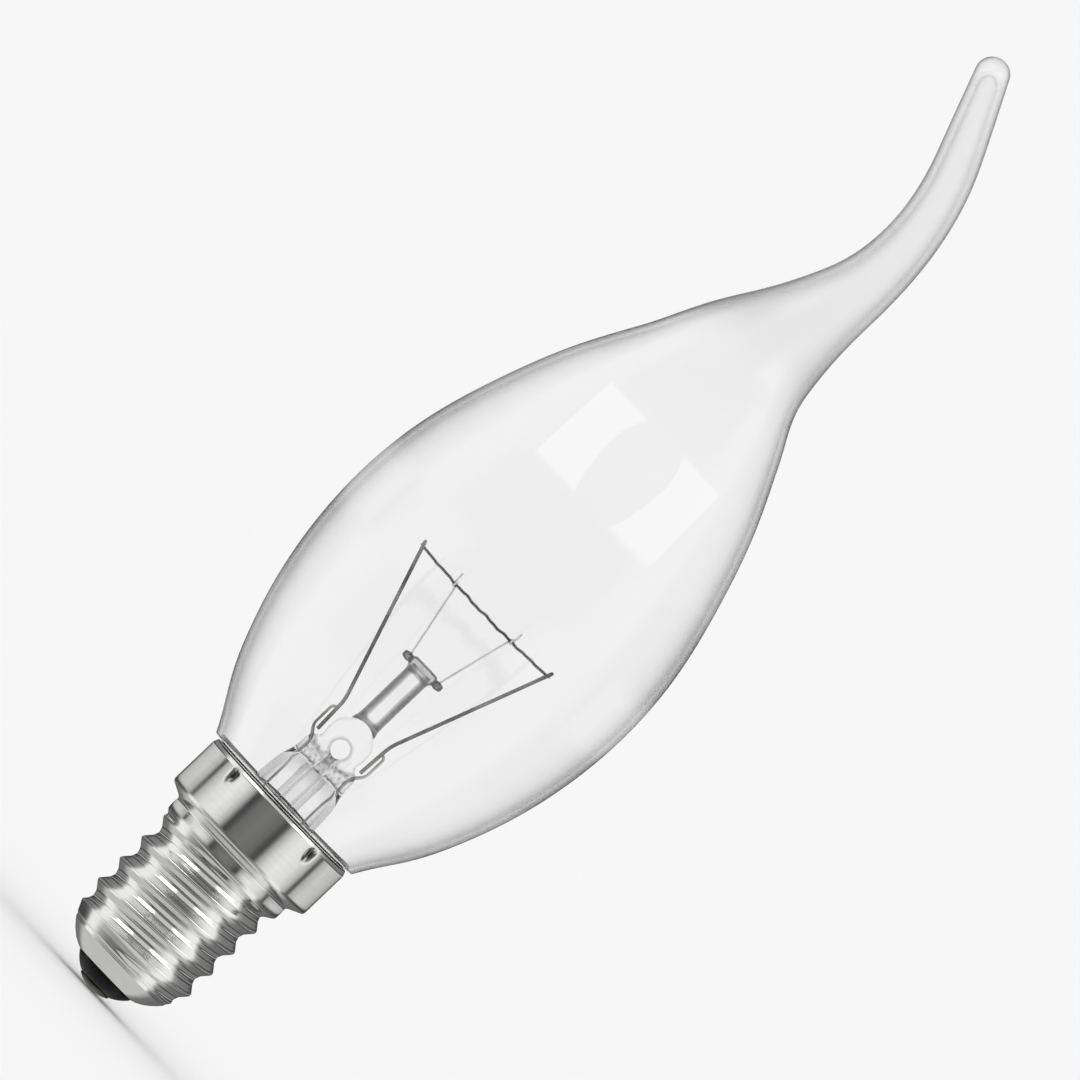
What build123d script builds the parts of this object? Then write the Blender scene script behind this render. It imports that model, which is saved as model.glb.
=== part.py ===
from build123d import *
import os
from math import cos, radians, sin, sqrt

# Candle lamp with a bent tip, standing on its end contact with the tip up.
# Millimetres, +Z along the lamp's axis. The tail bends in the XZ plane and +Y is the back.

# Screw cap: a drawn sheet shell with a rolled thread
sheet = 0.25
thread_pitch = 2.822
thread_crest_radius = 6.93
thread_depth = 0.78
thread_crest_land = 0.8
thread_root_land = 0.8
groove_overrun = 0.02
first_crest_height = 6.3
nose_radius = 3.45
nose_height = 2.0
nose_arc_radius = 11.0
nose_arc_top = 6.1
nose_steps = 4
band_radius = 7.2
band_height = 16.6
band_lead_in = 0.5
shoulder_height = 18.3
shoulder_rise = 0.9
skirt_radius = 8.75
rim_height = 24.8
rim_lip_height = 0.55
rim_lip_inset = 0.15

# Punched dents below the rim, two of them beside the front
dent_count = 5
dent_radius = 0.6
dent_depth = 0.4
dent_drop = 1.0
dent_front_angle = 36

# End contact and its insulator
solder_flat_radius = 0.7
solder_radius = 1.8
solder_height = 0.4
eyelet_flange_radius = 1.95
eyelet_flange_thickness = 0.25
eyelet_tube_radius = 0.75
eyelet_wall = 0.2
eyelet_lip_radius = 1.15
eyelet_lip_thickness = 0.2
insulator_tip_radius = 2.1
insulator_edge_inset = 0.05
insulator_depth = 1.9

# Glass bulb
glass_wall = 0.6
tail_wall = 0.8
neck_radius = 7.9
neck_wall = 0.7
neck_end_height = 20.6
collar_radius = 9.3
collar_gap = 0.3
collar_round = 0.25
bulb_radius = 17.5
belly_height = 52.3
bend_radius = 8.35
tail_radius = 2.3
tail_end_radius = 1.65
tail_bend_radius = 2.13
tail_hollow_end = 0.95
tail_bend_height = 81.6
tail_out_radius = 27.8
tail_out_angle = 11.1
tail_lean_length = 8.4
tail_back_radius = 27.4
tail_back_angle = 36.0
tail_end_length = 8.65

# Stem: flared tube, press and paddle, with a rod and a pumping tube
flare_radius = 3.75
flare_top_radius = 3.4
flare_wall = 0.5
bell_steps = 2
press_height = 29.3
press_blend = 1.0
press_slope = 40
press_width = 6.3
press_depth = 2.6
press_top = 31.5
paddle_width = 4.6
paddle_depth = 2.2
paddle_top = 34.4
paddle_shoulder = 1.1
blow_hole_radius = 1.16
blow_hole_height = 32.4
exhaust_radius = 1.38
exhaust_bore_radius = 0.7
exhaust_tip_height = 9.5
exhaust_tip_length = 1.6
arbor_radius = 1.3
arbor_height = 42.5
button_width = 5.0
button_depth = 2.4
button_height = 1.1

# Wires
seal_wire_diameter = 0.28
seal_wire_offset = 2.55
seal_wire_bend_rise = 0.4
hairpin_offset = 3.6
hairpin_rise = 1.5
hairpin_height = 34.7
inner_lead_diameter = 0.35
inner_lead_offset = 3.05
inner_lead_foot = 32.2
inner_lead_bend_height = 35.9
clamp_offset = 8.4
clamp_length = 0.9
clamp_overshoot = 0.45
filament_diameter = 0.3
filament_height = 51.0
filament_end = 0.3
filament_sag = 0.3
support_diameter = 0.13
support_foot_offset = 1.85
support_offset = 3.6
support_tail = 1.1
support_loop_pitch = 0.4
outer_lead_diameter = 0.25
centre_lead_turn = 9.0
centre_lead_entry = 6.8
side_lead_angle = 54
side_lead_drop = 0.8
side_solder_radius = 0.95
side_solder_top_radius = 0.5
side_solder_height = 0.7
side_solder_drop = 0.9
cement_setback = 0.3
wire_flat_count = 8

# Clearances
seal_gap = 0.02
plug_gap = 0.05
wire_gap = 0.01
lead_gap = 0.03

# The bulb's outline as shares of length and of radius: collar to belly, belly to bend, bend to tip
lower_outline = [(0.077, 0.141), (0.186, 0.366), (0.32, 0.572), (0.455, 0.722), (0.592, 0.852), (0.77, 0.957)]
upper_outline = [(0.19, 0.955), (0.38, 0.819), (0.57, 0.638), (0.764, 0.39), (0.89, 0.192)]
tail_outline = [(0.108, 0.671), (0.23, 0.375), (0.35, 0.19), (0.47, 0.075), (0.6, 0)]

LEFT = -1
RIGHT = 1
ON_BASE = (Align.CENTER, Align.CENTER, Align.MIN)
INWARD = (0, -90, 0)
OUTWARD = (0, 90, 0)


def polar_point(radius, angle, height):
    """A point at a radius and an angle in degrees about the lamp's axis."""
    return (radius * cos(radians(angle)), radius * sin(radians(angle)), height)


def fine_wire(points, diameter):
    """A fine wire of many flats along mitred straight runs, cut square at both ends."""
    with BuildPart() as wire:
        with BuildLine() as route:
            Polyline(*points)
        with BuildSketch(Plane(origin=route.line @ 0, z_dir=route.line % 0)):
            RegularPolygon(diameter / 2, wire_flat_count)
        sweep(path=route.line, transition=Transition.RIGHT)
    return wire


# Screw shell

# The nose is an arc of revolution from the nose's opening to the first thread crest
chord_radial = thread_crest_radius - nose_radius
chord_axial = nose_arc_top - nose_height
chord = sqrt(chord_radial**2 + chord_axial**2)
chord_reach = sqrt(nose_arc_radius**2 - chord**2 / 4)
nose_centre_radial = (nose_radius + thread_crest_radius) / 2 - chord_reach * chord_axial / chord
nose_centre_height = (nose_height + nose_arc_top) / 2 + chord_reach * chord_radial / chord


def nose_outline(bottom, top, inset):
    """Points up the nose's arc between two heights, inset from the outer surface."""
    heights = [bottom + (top - bottom) * step / nose_steps for step in range(nose_steps + 1)]
    reach = nose_arc_radius - inset
    return [
        (nose_centre_radial + sqrt(reach**2 - (nose_centre_height - height)**2), height)
        for height in heights
    ]


def cap_outline(inset):
    """Points of the cap above its thread, inset from the outside: band, shoulder, skirt and rim."""
    band = band_radius - inset
    skirt = skirt_radius - inset
    return [
        (band, band_height + band_lead_in + inset),
        (band, shoulder_height + inset / 2),
        (skirt, shoulder_height + shoulder_rise + inset / 2),
        (skirt, rim_height - rim_lip_height),
        (skirt - rim_lip_inset * (1 + inset / rim_lip_height), rim_height + inset),
    ]


# The groove starts below the nose's shoulder and runs out above the thread's end
groove_start = first_crest_height - 1.5 * thread_pitch
groove_end = band_height + thread_pitch
root_radius = thread_crest_radius - thread_depth
root_half = thread_root_land / 2
flank_slope = (thread_pitch - thread_crest_land - thread_root_land) / 2 / thread_depth
mouth_radius = thread_crest_radius + groove_overrun
mouth_half = root_half + flank_slope * (thread_depth + groove_overrun)

# Inside, the thread is left plain: a bore one sheet inside the groove's root
bore_radius = root_radius - sheet
bore_reach = nose_arc_radius - sheet
bore_height = nose_centre_height - sqrt(bore_reach**2 - (bore_radius - nose_centre_radial)**2)
bore_top = band_height + band_lead_in + sheet

dent_height = rim_height - dent_drop
dent_back_radius = skirt_radius - sheet * sqrt(1 + (dent_depth / dent_radius)**2)

with BuildPart() as dent_backs:
    with Locations((0, 0, dent_height)):
        with PolarLocations(dent_back_radius, dent_count, start_angle=dent_front_angle - 90):
            Cone(2 * dent_radius, 0, 2 * dent_depth, rotation=INWARD)
    Cylinder(skirt_radius - sheet / 2, 2 * rim_height, mode=Mode.INTERSECT)

with BuildPart() as screw_shell:
    with BuildSketch(Plane.XZ):
        with BuildLine():
            Polyline(
                (0, nose_height),
                *nose_outline(nose_height, nose_arc_top, 0),
                (thread_crest_radius, band_height),
                (0, band_height),
                close=True,
            )
        make_face()
    revolve(axis=Axis.Z)
    # A helical groove leaves the thread, and runs out where the nose is narrower than its root
    with BuildLine() as helix:
        Helix(thread_pitch, groove_end - groove_start, root_radius, center=(0, 0, groove_start))
    with BuildSketch(Plane.XZ):
        with BuildLine():
            Polyline(
                (root_radius, groove_start - root_half),
                (root_radius, groove_start + root_half),
                (mouth_radius, groove_start + mouth_half),
                (mouth_radius + sheet, groove_start + mouth_half),
                (mouth_radius + sheet, groove_start - mouth_half),
                (mouth_radius, groove_start - mouth_half),
                close=True,
            )
        make_face()
    sweep(path=helix.line, is_frenet=True, mode=Mode.SUBTRACT)
    with BuildSketch(Plane.XZ):
        with BuildLine():
            Polyline(
                (0, band_height),
                (thread_crest_radius, band_height),
                *cap_outline(0),
                (0, rim_height),
                close=True,
            )
        make_face()
    revolve(axis=Axis.Z)
    with BuildSketch(Plane.XZ):
        with BuildLine():
            Polyline(
                (0, nose_height - sheet),
                *nose_outline(nose_height - sheet, bore_height, sheet),
                (bore_radius, bore_top),
                *cap_outline(sheet),
                (0, rim_height + sheet),
                close=True,
            )
        make_face()
    revolve(axis=Axis.Z, mode=Mode.SUBTRACT)
    add(dent_backs.part)
    with Locations((0, 0, dent_height)):
        with PolarLocations(skirt_radius, dent_count, start_angle=dent_front_angle - 90):
            Cone(2 * dent_radius, 0, 2 * dent_depth, rotation=INWARD, mode=Mode.SUBTRACT)

# Insulator, eyelet and solder at the cap's end

insulator_bottom = solder_height + eyelet_flange_thickness
insulator_top = nose_height + insulator_depth
plug_inset = sheet + plug_gap
eyelet_bore_radius = eyelet_tube_radius - eyelet_wall
eyelet_top = insulator_top + eyelet_lip_thickness

with BuildPart() as cap_insulator:
    with BuildSketch(Plane.XZ):
        with BuildLine():
            Polyline(
                (eyelet_tube_radius + seal_gap, insulator_bottom),
                (insulator_tip_radius, insulator_bottom),
                (nose_radius - insulator_edge_inset, nose_height - seal_gap),
                *nose_outline(nose_height - seal_gap, insulator_top, plug_inset),
                (eyelet_tube_radius + seal_gap, insulator_top),
                close=True,
            )
        make_face()
    revolve(axis=Axis.Z)

with BuildPart() as contact_eyelet:
    with BuildSketch(Plane.XZ):
        with BuildLine():
            Polyline(
                (eyelet_bore_radius, solder_height),
                (eyelet_flange_radius, solder_height),
                (eyelet_flange_radius, insulator_bottom),
                (eyelet_tube_radius, insulator_bottom),
                (eyelet_tube_radius, insulator_top),
                (eyelet_lip_radius, insulator_top),
                (eyelet_lip_radius, eyelet_top),
                (eyelet_bore_radius, eyelet_top),
                close=True,
            )
        make_face()
    revolve(axis=Axis.Z)

with BuildPart() as contact_solder:
    Cone(solder_flat_radius, solder_radius, solder_height, align=ON_BASE)

# Bulb: a body of revolution up to the bend, then circular sections along a bent centreline

collar_height = rim_height + collar_gap
body_height = collar_height + collar_round
neck_bore_radius = neck_radius - neck_wall

with BuildLine(Plane.XZ) as centreline:
    bend_out = JernArc((0, tail_bend_height), (0, 1), tail_out_radius, -tail_out_angle)
    lean = Line(bend_out @ 1, bend_out @ 1 + tail_lean_length * (bend_out % 1))
    bend_back = JernArc(lean @ 1, lean % 1, tail_back_radius, tail_back_angle)
    Line(bend_back @ 1, bend_back @ 1 + tail_end_length * (bend_back % 1))
tail_axis = centreline.wire()

body_outline = [(collar_radius, body_height)]
for along, swell in lower_outline:
    height = body_height + along * (belly_height - body_height)
    body_outline.append((collar_radius + swell * (bulb_radius - collar_radius), height))
body_outline.append((bulb_radius, belly_height))
for along, swell in upper_outline:
    height = belly_height + along * (tail_bend_height - belly_height)
    body_outline.append((bend_radius + swell * (bulb_radius - bend_radius), height))
body_outline.append((bend_radius, tail_bend_height))

tail_sections = [(0, bend_radius)]
for along, swell in tail_outline:
    tail_sections.append((along, tail_radius + swell * (bend_radius - tail_radius)))
drawn_from = tail_outline[-1][0]
bend_end = 1 - tail_end_length / tail_axis.length
tail_sections.append(((drawn_from + bend_end) / 2, tail_radius))
tail_sections.append((bend_end, tail_bend_radius))
tail_sections.append((1, tail_end_radius))
hollow_share = (tail_hollow_end - bend_end) / (1 - bend_end)
hollow_end_radius = tail_bend_radius + hollow_share * (tail_end_radius - tail_bend_radius)


def section_plane(along):
    """The plane square to the tail's centreline at a share of its length."""
    return Plane(origin=tail_axis @ along, x_dir=(0, 1, 0), z_dir=tail_axis % along)


# The wall gathers along the tail, and the cavity ends short of the solid tip
with BuildPart() as bulb_cavity:
    with BuildSketch(Plane.XZ):
        with BuildLine():
            Polyline(
                (0, neck_end_height - neck_wall),
                (neck_bore_radius, neck_end_height - neck_wall),
                (neck_bore_radius, collar_height),
                *[(radius - glass_wall, height) for radius, height in body_outline[2::2]],
                (0, tail_bend_height),
                close=True,
            )
        make_face()
    revolve(axis=Axis.Z)
    for along, radius in [*tail_sections[:-1], (tail_hollow_end, hollow_end_radius)]:
        with BuildSketch(section_plane(along)):
            Circle(radius - glass_wall - along * (tail_wall - glass_wall))
    loft(ruled=True)

with BuildPart() as bulb_envelope:
    with BuildSketch(Plane.XZ):
        with BuildLine():
            Polyline(
                (0, neck_end_height),
                (neck_radius, neck_end_height),
                (neck_radius, collar_height),
                (collar_radius - collar_round, collar_height),
                *body_outline,
                (0, tail_bend_height),
                close=True,
            )
        make_face()
    revolve(axis=Axis.Z)
    for along, radius in tail_sections:
        with BuildSketch(section_plane(along)):
            Circle(radius)
    loft(ruled=True)
    with Locations(section_plane(1)):
        Sphere(tail_end_radius, arc_size1=0, align=ON_BASE)
    add(bulb_cavity.part, mode=Mode.SUBTRACT)

# Stem: the flare is sealed to the neck's end, and the press closes its top round the seal wires

grip_offset = (inner_lead_diameter + filament_diameter) / 2 + wire_gap
seal_wire_depth = (inner_lead_diameter + seal_wire_diameter) / 2 + wire_gap - grip_offset
flare_bend_radius = neck_bore_radius - flare_radius
flare_bend_height = neck_end_height + flare_bend_radius
paddle_end = paddle_top + paddle_shoulder

bell_angles = [90 * step / bell_steps for step in range(bell_steps + 1)]


def bell_outline(radius):
    """Points round the flare's bell, from the tube out to the neck."""
    return [
        (neck_bore_radius - radius * cos(radians(angle)), flare_bend_height - radius * sin(radians(angle)))
        for angle in bell_angles
    ]


with BuildPart() as stem_flare:
    with BuildSketch(Plane.XZ):
        with BuildLine():
            Polyline(
                (flare_top_radius, press_height),
                *bell_outline(flare_bend_radius),
                (neck_radius, neck_end_height),
                (neck_radius, neck_end_height - flare_wall),
                *reversed(bell_outline(flare_bend_radius + flare_wall)),
                (flare_top_radius - flare_wall, press_height),
                close=True,
            )
        make_face()
    revolve(axis=Axis.Z)
    with BuildSketch(Plane.XY.offset(press_height)):
        Circle(flare_top_radius)
    extrude(amount=press_blend, taper=press_slope)
    with BuildSketch(Plane.XY.offset(press_height)):
        SlotOverall(press_width, press_depth)
    extrude(amount=press_top - press_height)
    with BuildSketch(Plane.XZ):
        with BuildLine():
            Polyline(
                (-paddle_width / 2, press_top),
                (paddle_width / 2, press_top),
                (paddle_width / 2, paddle_top),
                (arbor_radius, paddle_end),
                (-arbor_radius, paddle_end),
                (-paddle_width / 2, paddle_top),
                close=True,
            )
        make_face()
    extrude(amount=paddle_depth / 2, both=True)
    # The blow hole opens to both sides of the paddle and down to the pumping tube
    with BuildSketch(Plane.XZ):
        with Locations((0, blow_hole_height)):
            Circle(blow_hole_radius)
    extrude(amount=press_depth, both=True, mode=Mode.SUBTRACT)
    with BuildSketch(Plane.XY.offset(press_height)):
        Circle(exhaust_bore_radius)
    extrude(amount=blow_hole_height - press_height, mode=Mode.SUBTRACT)
    # Channels for the seal wires
    with BuildSketch(Plane.XY.offset(press_height)):
        with Locations((-seal_wire_offset, seal_wire_depth), (seal_wire_offset, seal_wire_depth)):
            RegularPolygon(seal_wire_diameter / 2 + seal_gap, wire_flat_count)
    extrude(amount=press_top - press_height, mode=Mode.SUBTRACT)

with BuildPart() as exhaust_tube:
    tip_top = exhaust_tip_height + exhaust_tip_length
    with BuildSketch(Plane.XZ):
        with BuildLine():
            Polyline(
                (0, exhaust_tip_height),
                (exhaust_radius, tip_top),
                (exhaust_radius, press_height),
                (exhaust_bore_radius, press_height),
                (exhaust_bore_radius, tip_top),
                (0, tip_top),
                close=True,
            )
        make_face()
    revolve(axis=Axis.Z)

button_top = arbor_height + button_height
support_foot_height = arbor_height + button_height / 2

with BuildPart() as arbor_rod:
    with BuildSketch(Plane.XY.offset(arbor_height)):
        SlotOverall(button_width, button_depth)
    extrude(amount=button_height)
    with BuildSketch(Plane.XY.offset(paddle_end)):
        Circle(arbor_radius)
    extrude(amount=support_foot_height - paddle_end)
    with BuildSketch(Plane.XY.offset(support_foot_height)):
        with Locations((-support_foot_offset, 0), (support_foot_offset, 0)):
            RegularPolygon(support_diameter / 2 + seal_gap, wire_flat_count)
    extrude(amount=button_height, mode=Mode.SUBTRACT)

# Filament and the wires that carry it

filament_low = filament_height - filament_sag
filament_mid = filament_height - filament_sag / 2
filament_reach = clamp_offset + filament_end
filament = fine_wire(
    [
        (-filament_reach, 0, filament_height),
        (-support_offset, 0, filament_mid),
        (0, 0, filament_low),
        (support_offset, 0, filament_mid),
        (filament_reach, 0, filament_height),
    ],
    filament_diameter,
)


def filament_support(side):
    """A fine wire from the button, looped once round the filament, with its end standing up."""
    loop = (filament_diameter + support_diameter) / 2 + lead_gap
    step = -side * support_loop_pitch / 4
    across = side * support_offset - 2 * step
    low = filament_mid - loop
    high = filament_mid + loop
    return fine_wire(
        [
            (side * support_foot_offset, 0, support_foot_height),
            (side * support_foot_offset, 0, button_top + loop),
            (across, loop, low),
            (across + step, loop, high),
            (across + 2 * step, -loop, high),
            (across + 3 * step, -loop, low),
            (across + 4 * step, loop, low),
            (across + 4 * step, loop, high + support_tail),
        ],
        support_diameter,
    )


def inner_lead(side):
    """A lead from its seal wire to the filament, with its end folded over to clamp the filament."""
    run = Vector(side * (clamp_offset - inner_lead_offset), 0, filament_height - inner_lead_bend_height)
    along = run.normalized()
    crown = Vector(side * clamp_offset, -grip_offset, filament_height) + clamp_overshoot * along
    fold = crown + Vector(0, 2 * grip_offset, 0)
    return fine_wire(
        [
            (side * inner_lead_offset, -grip_offset, inner_lead_foot),
            (side * inner_lead_offset, -grip_offset, inner_lead_bend_height),
            crown,
            fold,
            fold - (clamp_overshoot + clamp_length) * along,
        ],
        inner_lead_diameter,
    )


def seal_wire(side):
    """A wire up through the press, bent out and back over its inner lead like a hairpin."""
    bend = press_top + seal_wire_bend_rise
    return fine_wire(
        [
            (side * seal_wire_offset, seal_wire_depth, press_height),
            (side * seal_wire_offset, seal_wire_depth, bend),
            (side * hairpin_offset, seal_wire_depth, bend + hairpin_rise),
            (side * hairpin_offset, seal_wire_depth, hairpin_height),
            (side * inner_lead_offset, seal_wire_depth, hairpin_height + seal_wire_diameter),
        ],
        seal_wire_diameter,
    )


centre_lead = fine_wire(
    [
        (-seal_wire_offset, seal_wire_depth, press_height),
        (-seal_wire_offset, seal_wire_depth, centre_lead_turn),
        (0, 0, centre_lead_entry),
        (0, 0, solder_height),
    ],
    outer_lead_diameter,
)

# The side lead passes under the neck's end, up beside the neck and over the rim to its solder
outer_lead_radius = outer_lead_diameter / 2
side_lead_reach = (neck_radius + skirt_radius - sheet) / 2
side_lead_outside = skirt_radius + outer_lead_radius + lead_gap
side_lead_under = neck_end_height - flare_wall - outer_lead_radius - lead_gap
side_lead_over = rim_height + outer_lead_radius + lead_gap
side_lead_points = [
    (seal_wire_offset, seal_wire_depth, press_height),
    (seal_wire_offset, seal_wire_depth, side_lead_under),
    polar_point(side_lead_reach, side_lead_angle, side_lead_under),
    polar_point(side_lead_reach, side_lead_angle, side_lead_over),
    polar_point(side_lead_outside, side_lead_angle, side_lead_over),
    polar_point(side_lead_outside, side_lead_angle, rim_height - side_lead_drop),
]
side_lead = fine_wire(side_lead_points, outer_lead_diameter)
side_lead_channel = fine_wire(side_lead_points, outer_lead_diameter + 2 * lead_gap)

with BuildPart() as side_solder:
    with Locations((0, 0, rim_height - side_solder_drop)):
        with PolarLocations(skirt_radius, 1, start_angle=side_lead_angle):
            Cone(side_solder_radius, side_solder_top_radius, 2 * side_solder_height, rotation=OUTWARD)
    Cylinder(skirt_radius, 4 * rim_height, mode=Mode.SUBTRACT)
    add(side_lead_channel.part, mode=Mode.SUBTRACT)

cement_bottom = neck_end_height + cement_setback
cement_top = rim_height - rim_lip_height

with BuildPart() as cap_cement:
    with BuildSketch(Plane.XY.offset(cement_bottom)):
        Circle(skirt_radius - sheet - seal_gap)
        Circle(neck_radius + seal_gap, mode=Mode.SUBTRACT)
    extrude(amount=cement_top - cement_bottom)
    add(side_lead_channel.part, mode=Mode.SUBTRACT)
    # The dents key into the cement
    with Locations((0, 0, dent_height)):
        with PolarLocations(
            dent_back_radius - 2 * seal_gap, dent_count, start_angle=dent_front_angle - 90
        ):
            Cone(2 * dent_radius, 0, 2 * dent_depth, rotation=INWARD, mode=Mode.SUBTRACT)

pieces = {
    "bulb_envelope": bulb_envelope,
    "stem_flare": stem_flare,
    "exhaust_tube": exhaust_tube,
    "arbor_rod": arbor_rod,
    "filament": filament,
    "filament_support_left": filament_support(LEFT),
    "filament_support_right": filament_support(RIGHT),
    "inner_lead_left": inner_lead(LEFT),
    "inner_lead_right": inner_lead(RIGHT),
    "seal_wire_left": seal_wire(LEFT),
    "seal_wire_right": seal_wire(RIGHT),
    "centre_lead": centre_lead,
    "side_lead": side_lead,
    "screw_shell": screw_shell,
    "cap_insulator": cap_insulator,
    "contact_eyelet": contact_eyelet,
    "contact_solder": contact_solder,
    "side_solder": side_solder,
    "cap_cement": cap_cement,
}

os.makedirs("parts", exist_ok=True)
for name, piece in pieces.items():
    piece.part.label = name
    export_step(piece.part, f"parts/{name}.step")
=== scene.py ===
"""Dressed scene of a clear candle lamp with a bent tip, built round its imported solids.

All shapes are in millimetres while they are worked out and are written to the meshes in metres.
The lamp stands on its end contact at the origin, +Z runs to the tip and -Y faces the camera.
"""

from __future__ import annotations

import logging
import math
from dataclasses import dataclass, field
from enum import Enum

import bpy
import numpy as np
from mathutils import Matrix

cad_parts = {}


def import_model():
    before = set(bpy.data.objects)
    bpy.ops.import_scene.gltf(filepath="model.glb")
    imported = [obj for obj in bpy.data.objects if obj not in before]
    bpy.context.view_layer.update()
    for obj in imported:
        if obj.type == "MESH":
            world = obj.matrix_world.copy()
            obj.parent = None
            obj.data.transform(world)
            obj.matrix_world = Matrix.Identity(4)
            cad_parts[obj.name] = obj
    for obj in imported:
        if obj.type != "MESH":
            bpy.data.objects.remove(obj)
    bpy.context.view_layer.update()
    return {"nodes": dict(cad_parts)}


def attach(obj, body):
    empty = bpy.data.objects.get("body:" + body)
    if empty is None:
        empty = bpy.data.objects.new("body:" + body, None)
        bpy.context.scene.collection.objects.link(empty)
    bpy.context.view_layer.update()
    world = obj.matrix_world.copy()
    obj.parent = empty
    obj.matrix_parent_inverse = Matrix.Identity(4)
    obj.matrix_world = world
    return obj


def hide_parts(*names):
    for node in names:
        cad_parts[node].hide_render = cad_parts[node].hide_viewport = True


Piece = bpy.types.Object
Socket = bpy.types.NodeSocket
Pair = tuple[float, float]
Triple = tuple[float, float, float]
Table = tuple[Pair, ...]

LOG = logging.getLogger("candle_lamp")
MM = 0.001
BODY = "root"
AXIS_X = (1.0, 0.0, 0.0)
AXIS_Y = (0.0, 1.0, 0.0)
# Degrees in a right angle, the unit of turn and lean in the studio's light
SQUARE = 90.0
# Angle round the axis at which the side lead is soldered to the skirt
SIDE_ANGLE = math.radians(54)
# Squareness of a round ring
ROUND = 2.0
# Shares of an end ring's size for the rows that close it
CLOSING = np.linspace(0.05, 0.95, 10)
# Largest share of a straight run that one bend takes up
BEND_SHARE = 0.48
# Crease in degrees for pieces whose corners are rounded by their profile
PROFILE_CREASE = 60.0


class Slot(Enum):
    """Material slots of the record."""

    CLEAR_GLASS = "clear_glass"
    STEM_GLASS = "stem_glass"
    TUNGSTEN = "tungsten"
    SUPPORT_WIRE = "support_wire"
    NICKEL_WIRE = "nickel_wire"
    SEAL_WIRE = "seal_wire"
    PLATED_SHEET = "plated_sheet"
    BLACK_GLASS = "black_glass"
    EYELET_BRASS = "eyelet_brass"
    SOLDER = "solder"
    CEMENT = "cement"


class Side(Enum):
    """The two sides of the mount, with the sign of X on each."""

    LEFT = -1
    RIGHT = 1

    @property
    def word(self) -> str:
        """The side's name as the CAD nodes spell it."""
        return self.name.lower()


class Merge(Enum):
    """Ways to work a second object into a piece."""

    JOIN = "UNION"
    CUT = "DIFFERENCE"


class Detail(Enum):
    """Octaves of a noise, from soft waves to fine stains."""

    SOFT = 1.0
    EVEN = 2.0
    PLAIN = 3.0
    FINE = 5.0


# Curves and grids


def natural_curve(stations: np.ndarray, values: np.ndarray, at: np.ndarray) -> np.ndarray:
    """Natural cubic spline: cubic pieces that share slope and curvature, straight at both ends.

    Args:
        stations: Rising places of the given values.
        values: Values at the stations.
        at: Places to work the curve out at.

    Returns:
        The curve's values, one for each place.
    """
    step = np.diff(stations)
    count = len(stations)
    system = np.eye(count)
    inner = np.arange(1, count - 1)
    system[inner, inner - 1] = step[:-1]
    system[inner, inner] = 2 * (step[:-1] + step[1:])
    system[inner, inner + 1] = step[1:]
    chord = np.diff(values) / step
    right = np.zeros(count)
    right[inner] = 6 * np.diff(chord)
    bend = np.linalg.solve(system, right)
    k = np.clip(np.searchsorted(stations, at) - 1, 0, count - 2)
    left, ahead = at - stations[k], stations[k + 1] - at
    return (
        (bend[k] * ahead**3 + bend[k + 1] * left**3) / (6 * step[k])
        + (values[k] / step[k] - bend[k] * step[k] / 6) * ahead
        + (values[k + 1] / step[k] - bend[k + 1] * step[k] / 6) * left
    )


def ease(low: float, high: float, at: np.ndarray) -> np.ndarray:
    """Smooth step from 0 at low to 1 at high: 3t^2 - 2t^3."""
    share = np.clip((at - low) / (high - low), 0.0, 1.0)
    return share * share * (3 - 2 * share)


def circle(count: int) -> np.ndarray:
    """Angles of points spread evenly round a circle, in radians."""
    return np.linspace(0, 2 * np.pi, count, endpoint=False)


def spread(start: float, runs: tuple[tuple[float, int], ...]) -> np.ndarray:
    """Places spread evenly over runs that follow each other, with each shared end given once.

    Args:
        start: Where the first run starts.
        runs: End of each run and its number of places, both ends counted.

    Returns:
        The places in order.
    """
    starts = (start, *(end for end, _ in runs))
    parts = [np.linspace(low, high, count)[1:] for low, (high, count) in zip(starts, runs)]
    return np.concatenate(([start], *parts))


def rounded_path(corners: np.ndarray, bend: float, steps: int = 10) -> np.ndarray:
    """Straight runs joined at each corner by a parabola that starts and ends one bend length away.

    Args:
        corners: Corner points in order, one row each.
        bend: Longest distance from a corner to where its bend starts.
        steps: Points along each bend.

    Returns:
        Points of the path, one row each.
    """
    runs = np.diff(corners, axis=0)
    lengths = np.linalg.norm(runs, axis=1)
    ways = runs / lengths[:, None]
    cut = np.minimum(bend, BEND_SHARE * np.minimum(lengths[:-1], lengths[1:]))[:, None]
    middle = corners[1:-1]
    before, after = middle - cut * ways[:-1], middle + cut * ways[1:]
    share = np.linspace(0, 1, steps)[None, :, None]
    bends = (
        (1 - share) ** 2 * before[:, None]
        + 2 * share * (1 - share) * middle[:, None]
        + share**2 * after[:, None]
    )
    return np.vstack((corners[:1], bends.reshape(-1, 3), corners[-1:]))


def turned(profile: np.ndarray, columns: int) -> np.ndarray:
    """Grid of a profile of (radius, height) rows turned round the Z axis.

    Args:
        profile: Rows of radius and height.
        columns: Points round the axis.

    Returns:
        Array of rows by columns by 3.
    """
    angle = circle(columns)
    radius, height = profile[:, :1], profile[:, 1:]
    return np.stack(
        (radius * np.cos(angle), radius * np.sin(angle), height + 0 * angle), axis=-1
    )


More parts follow.
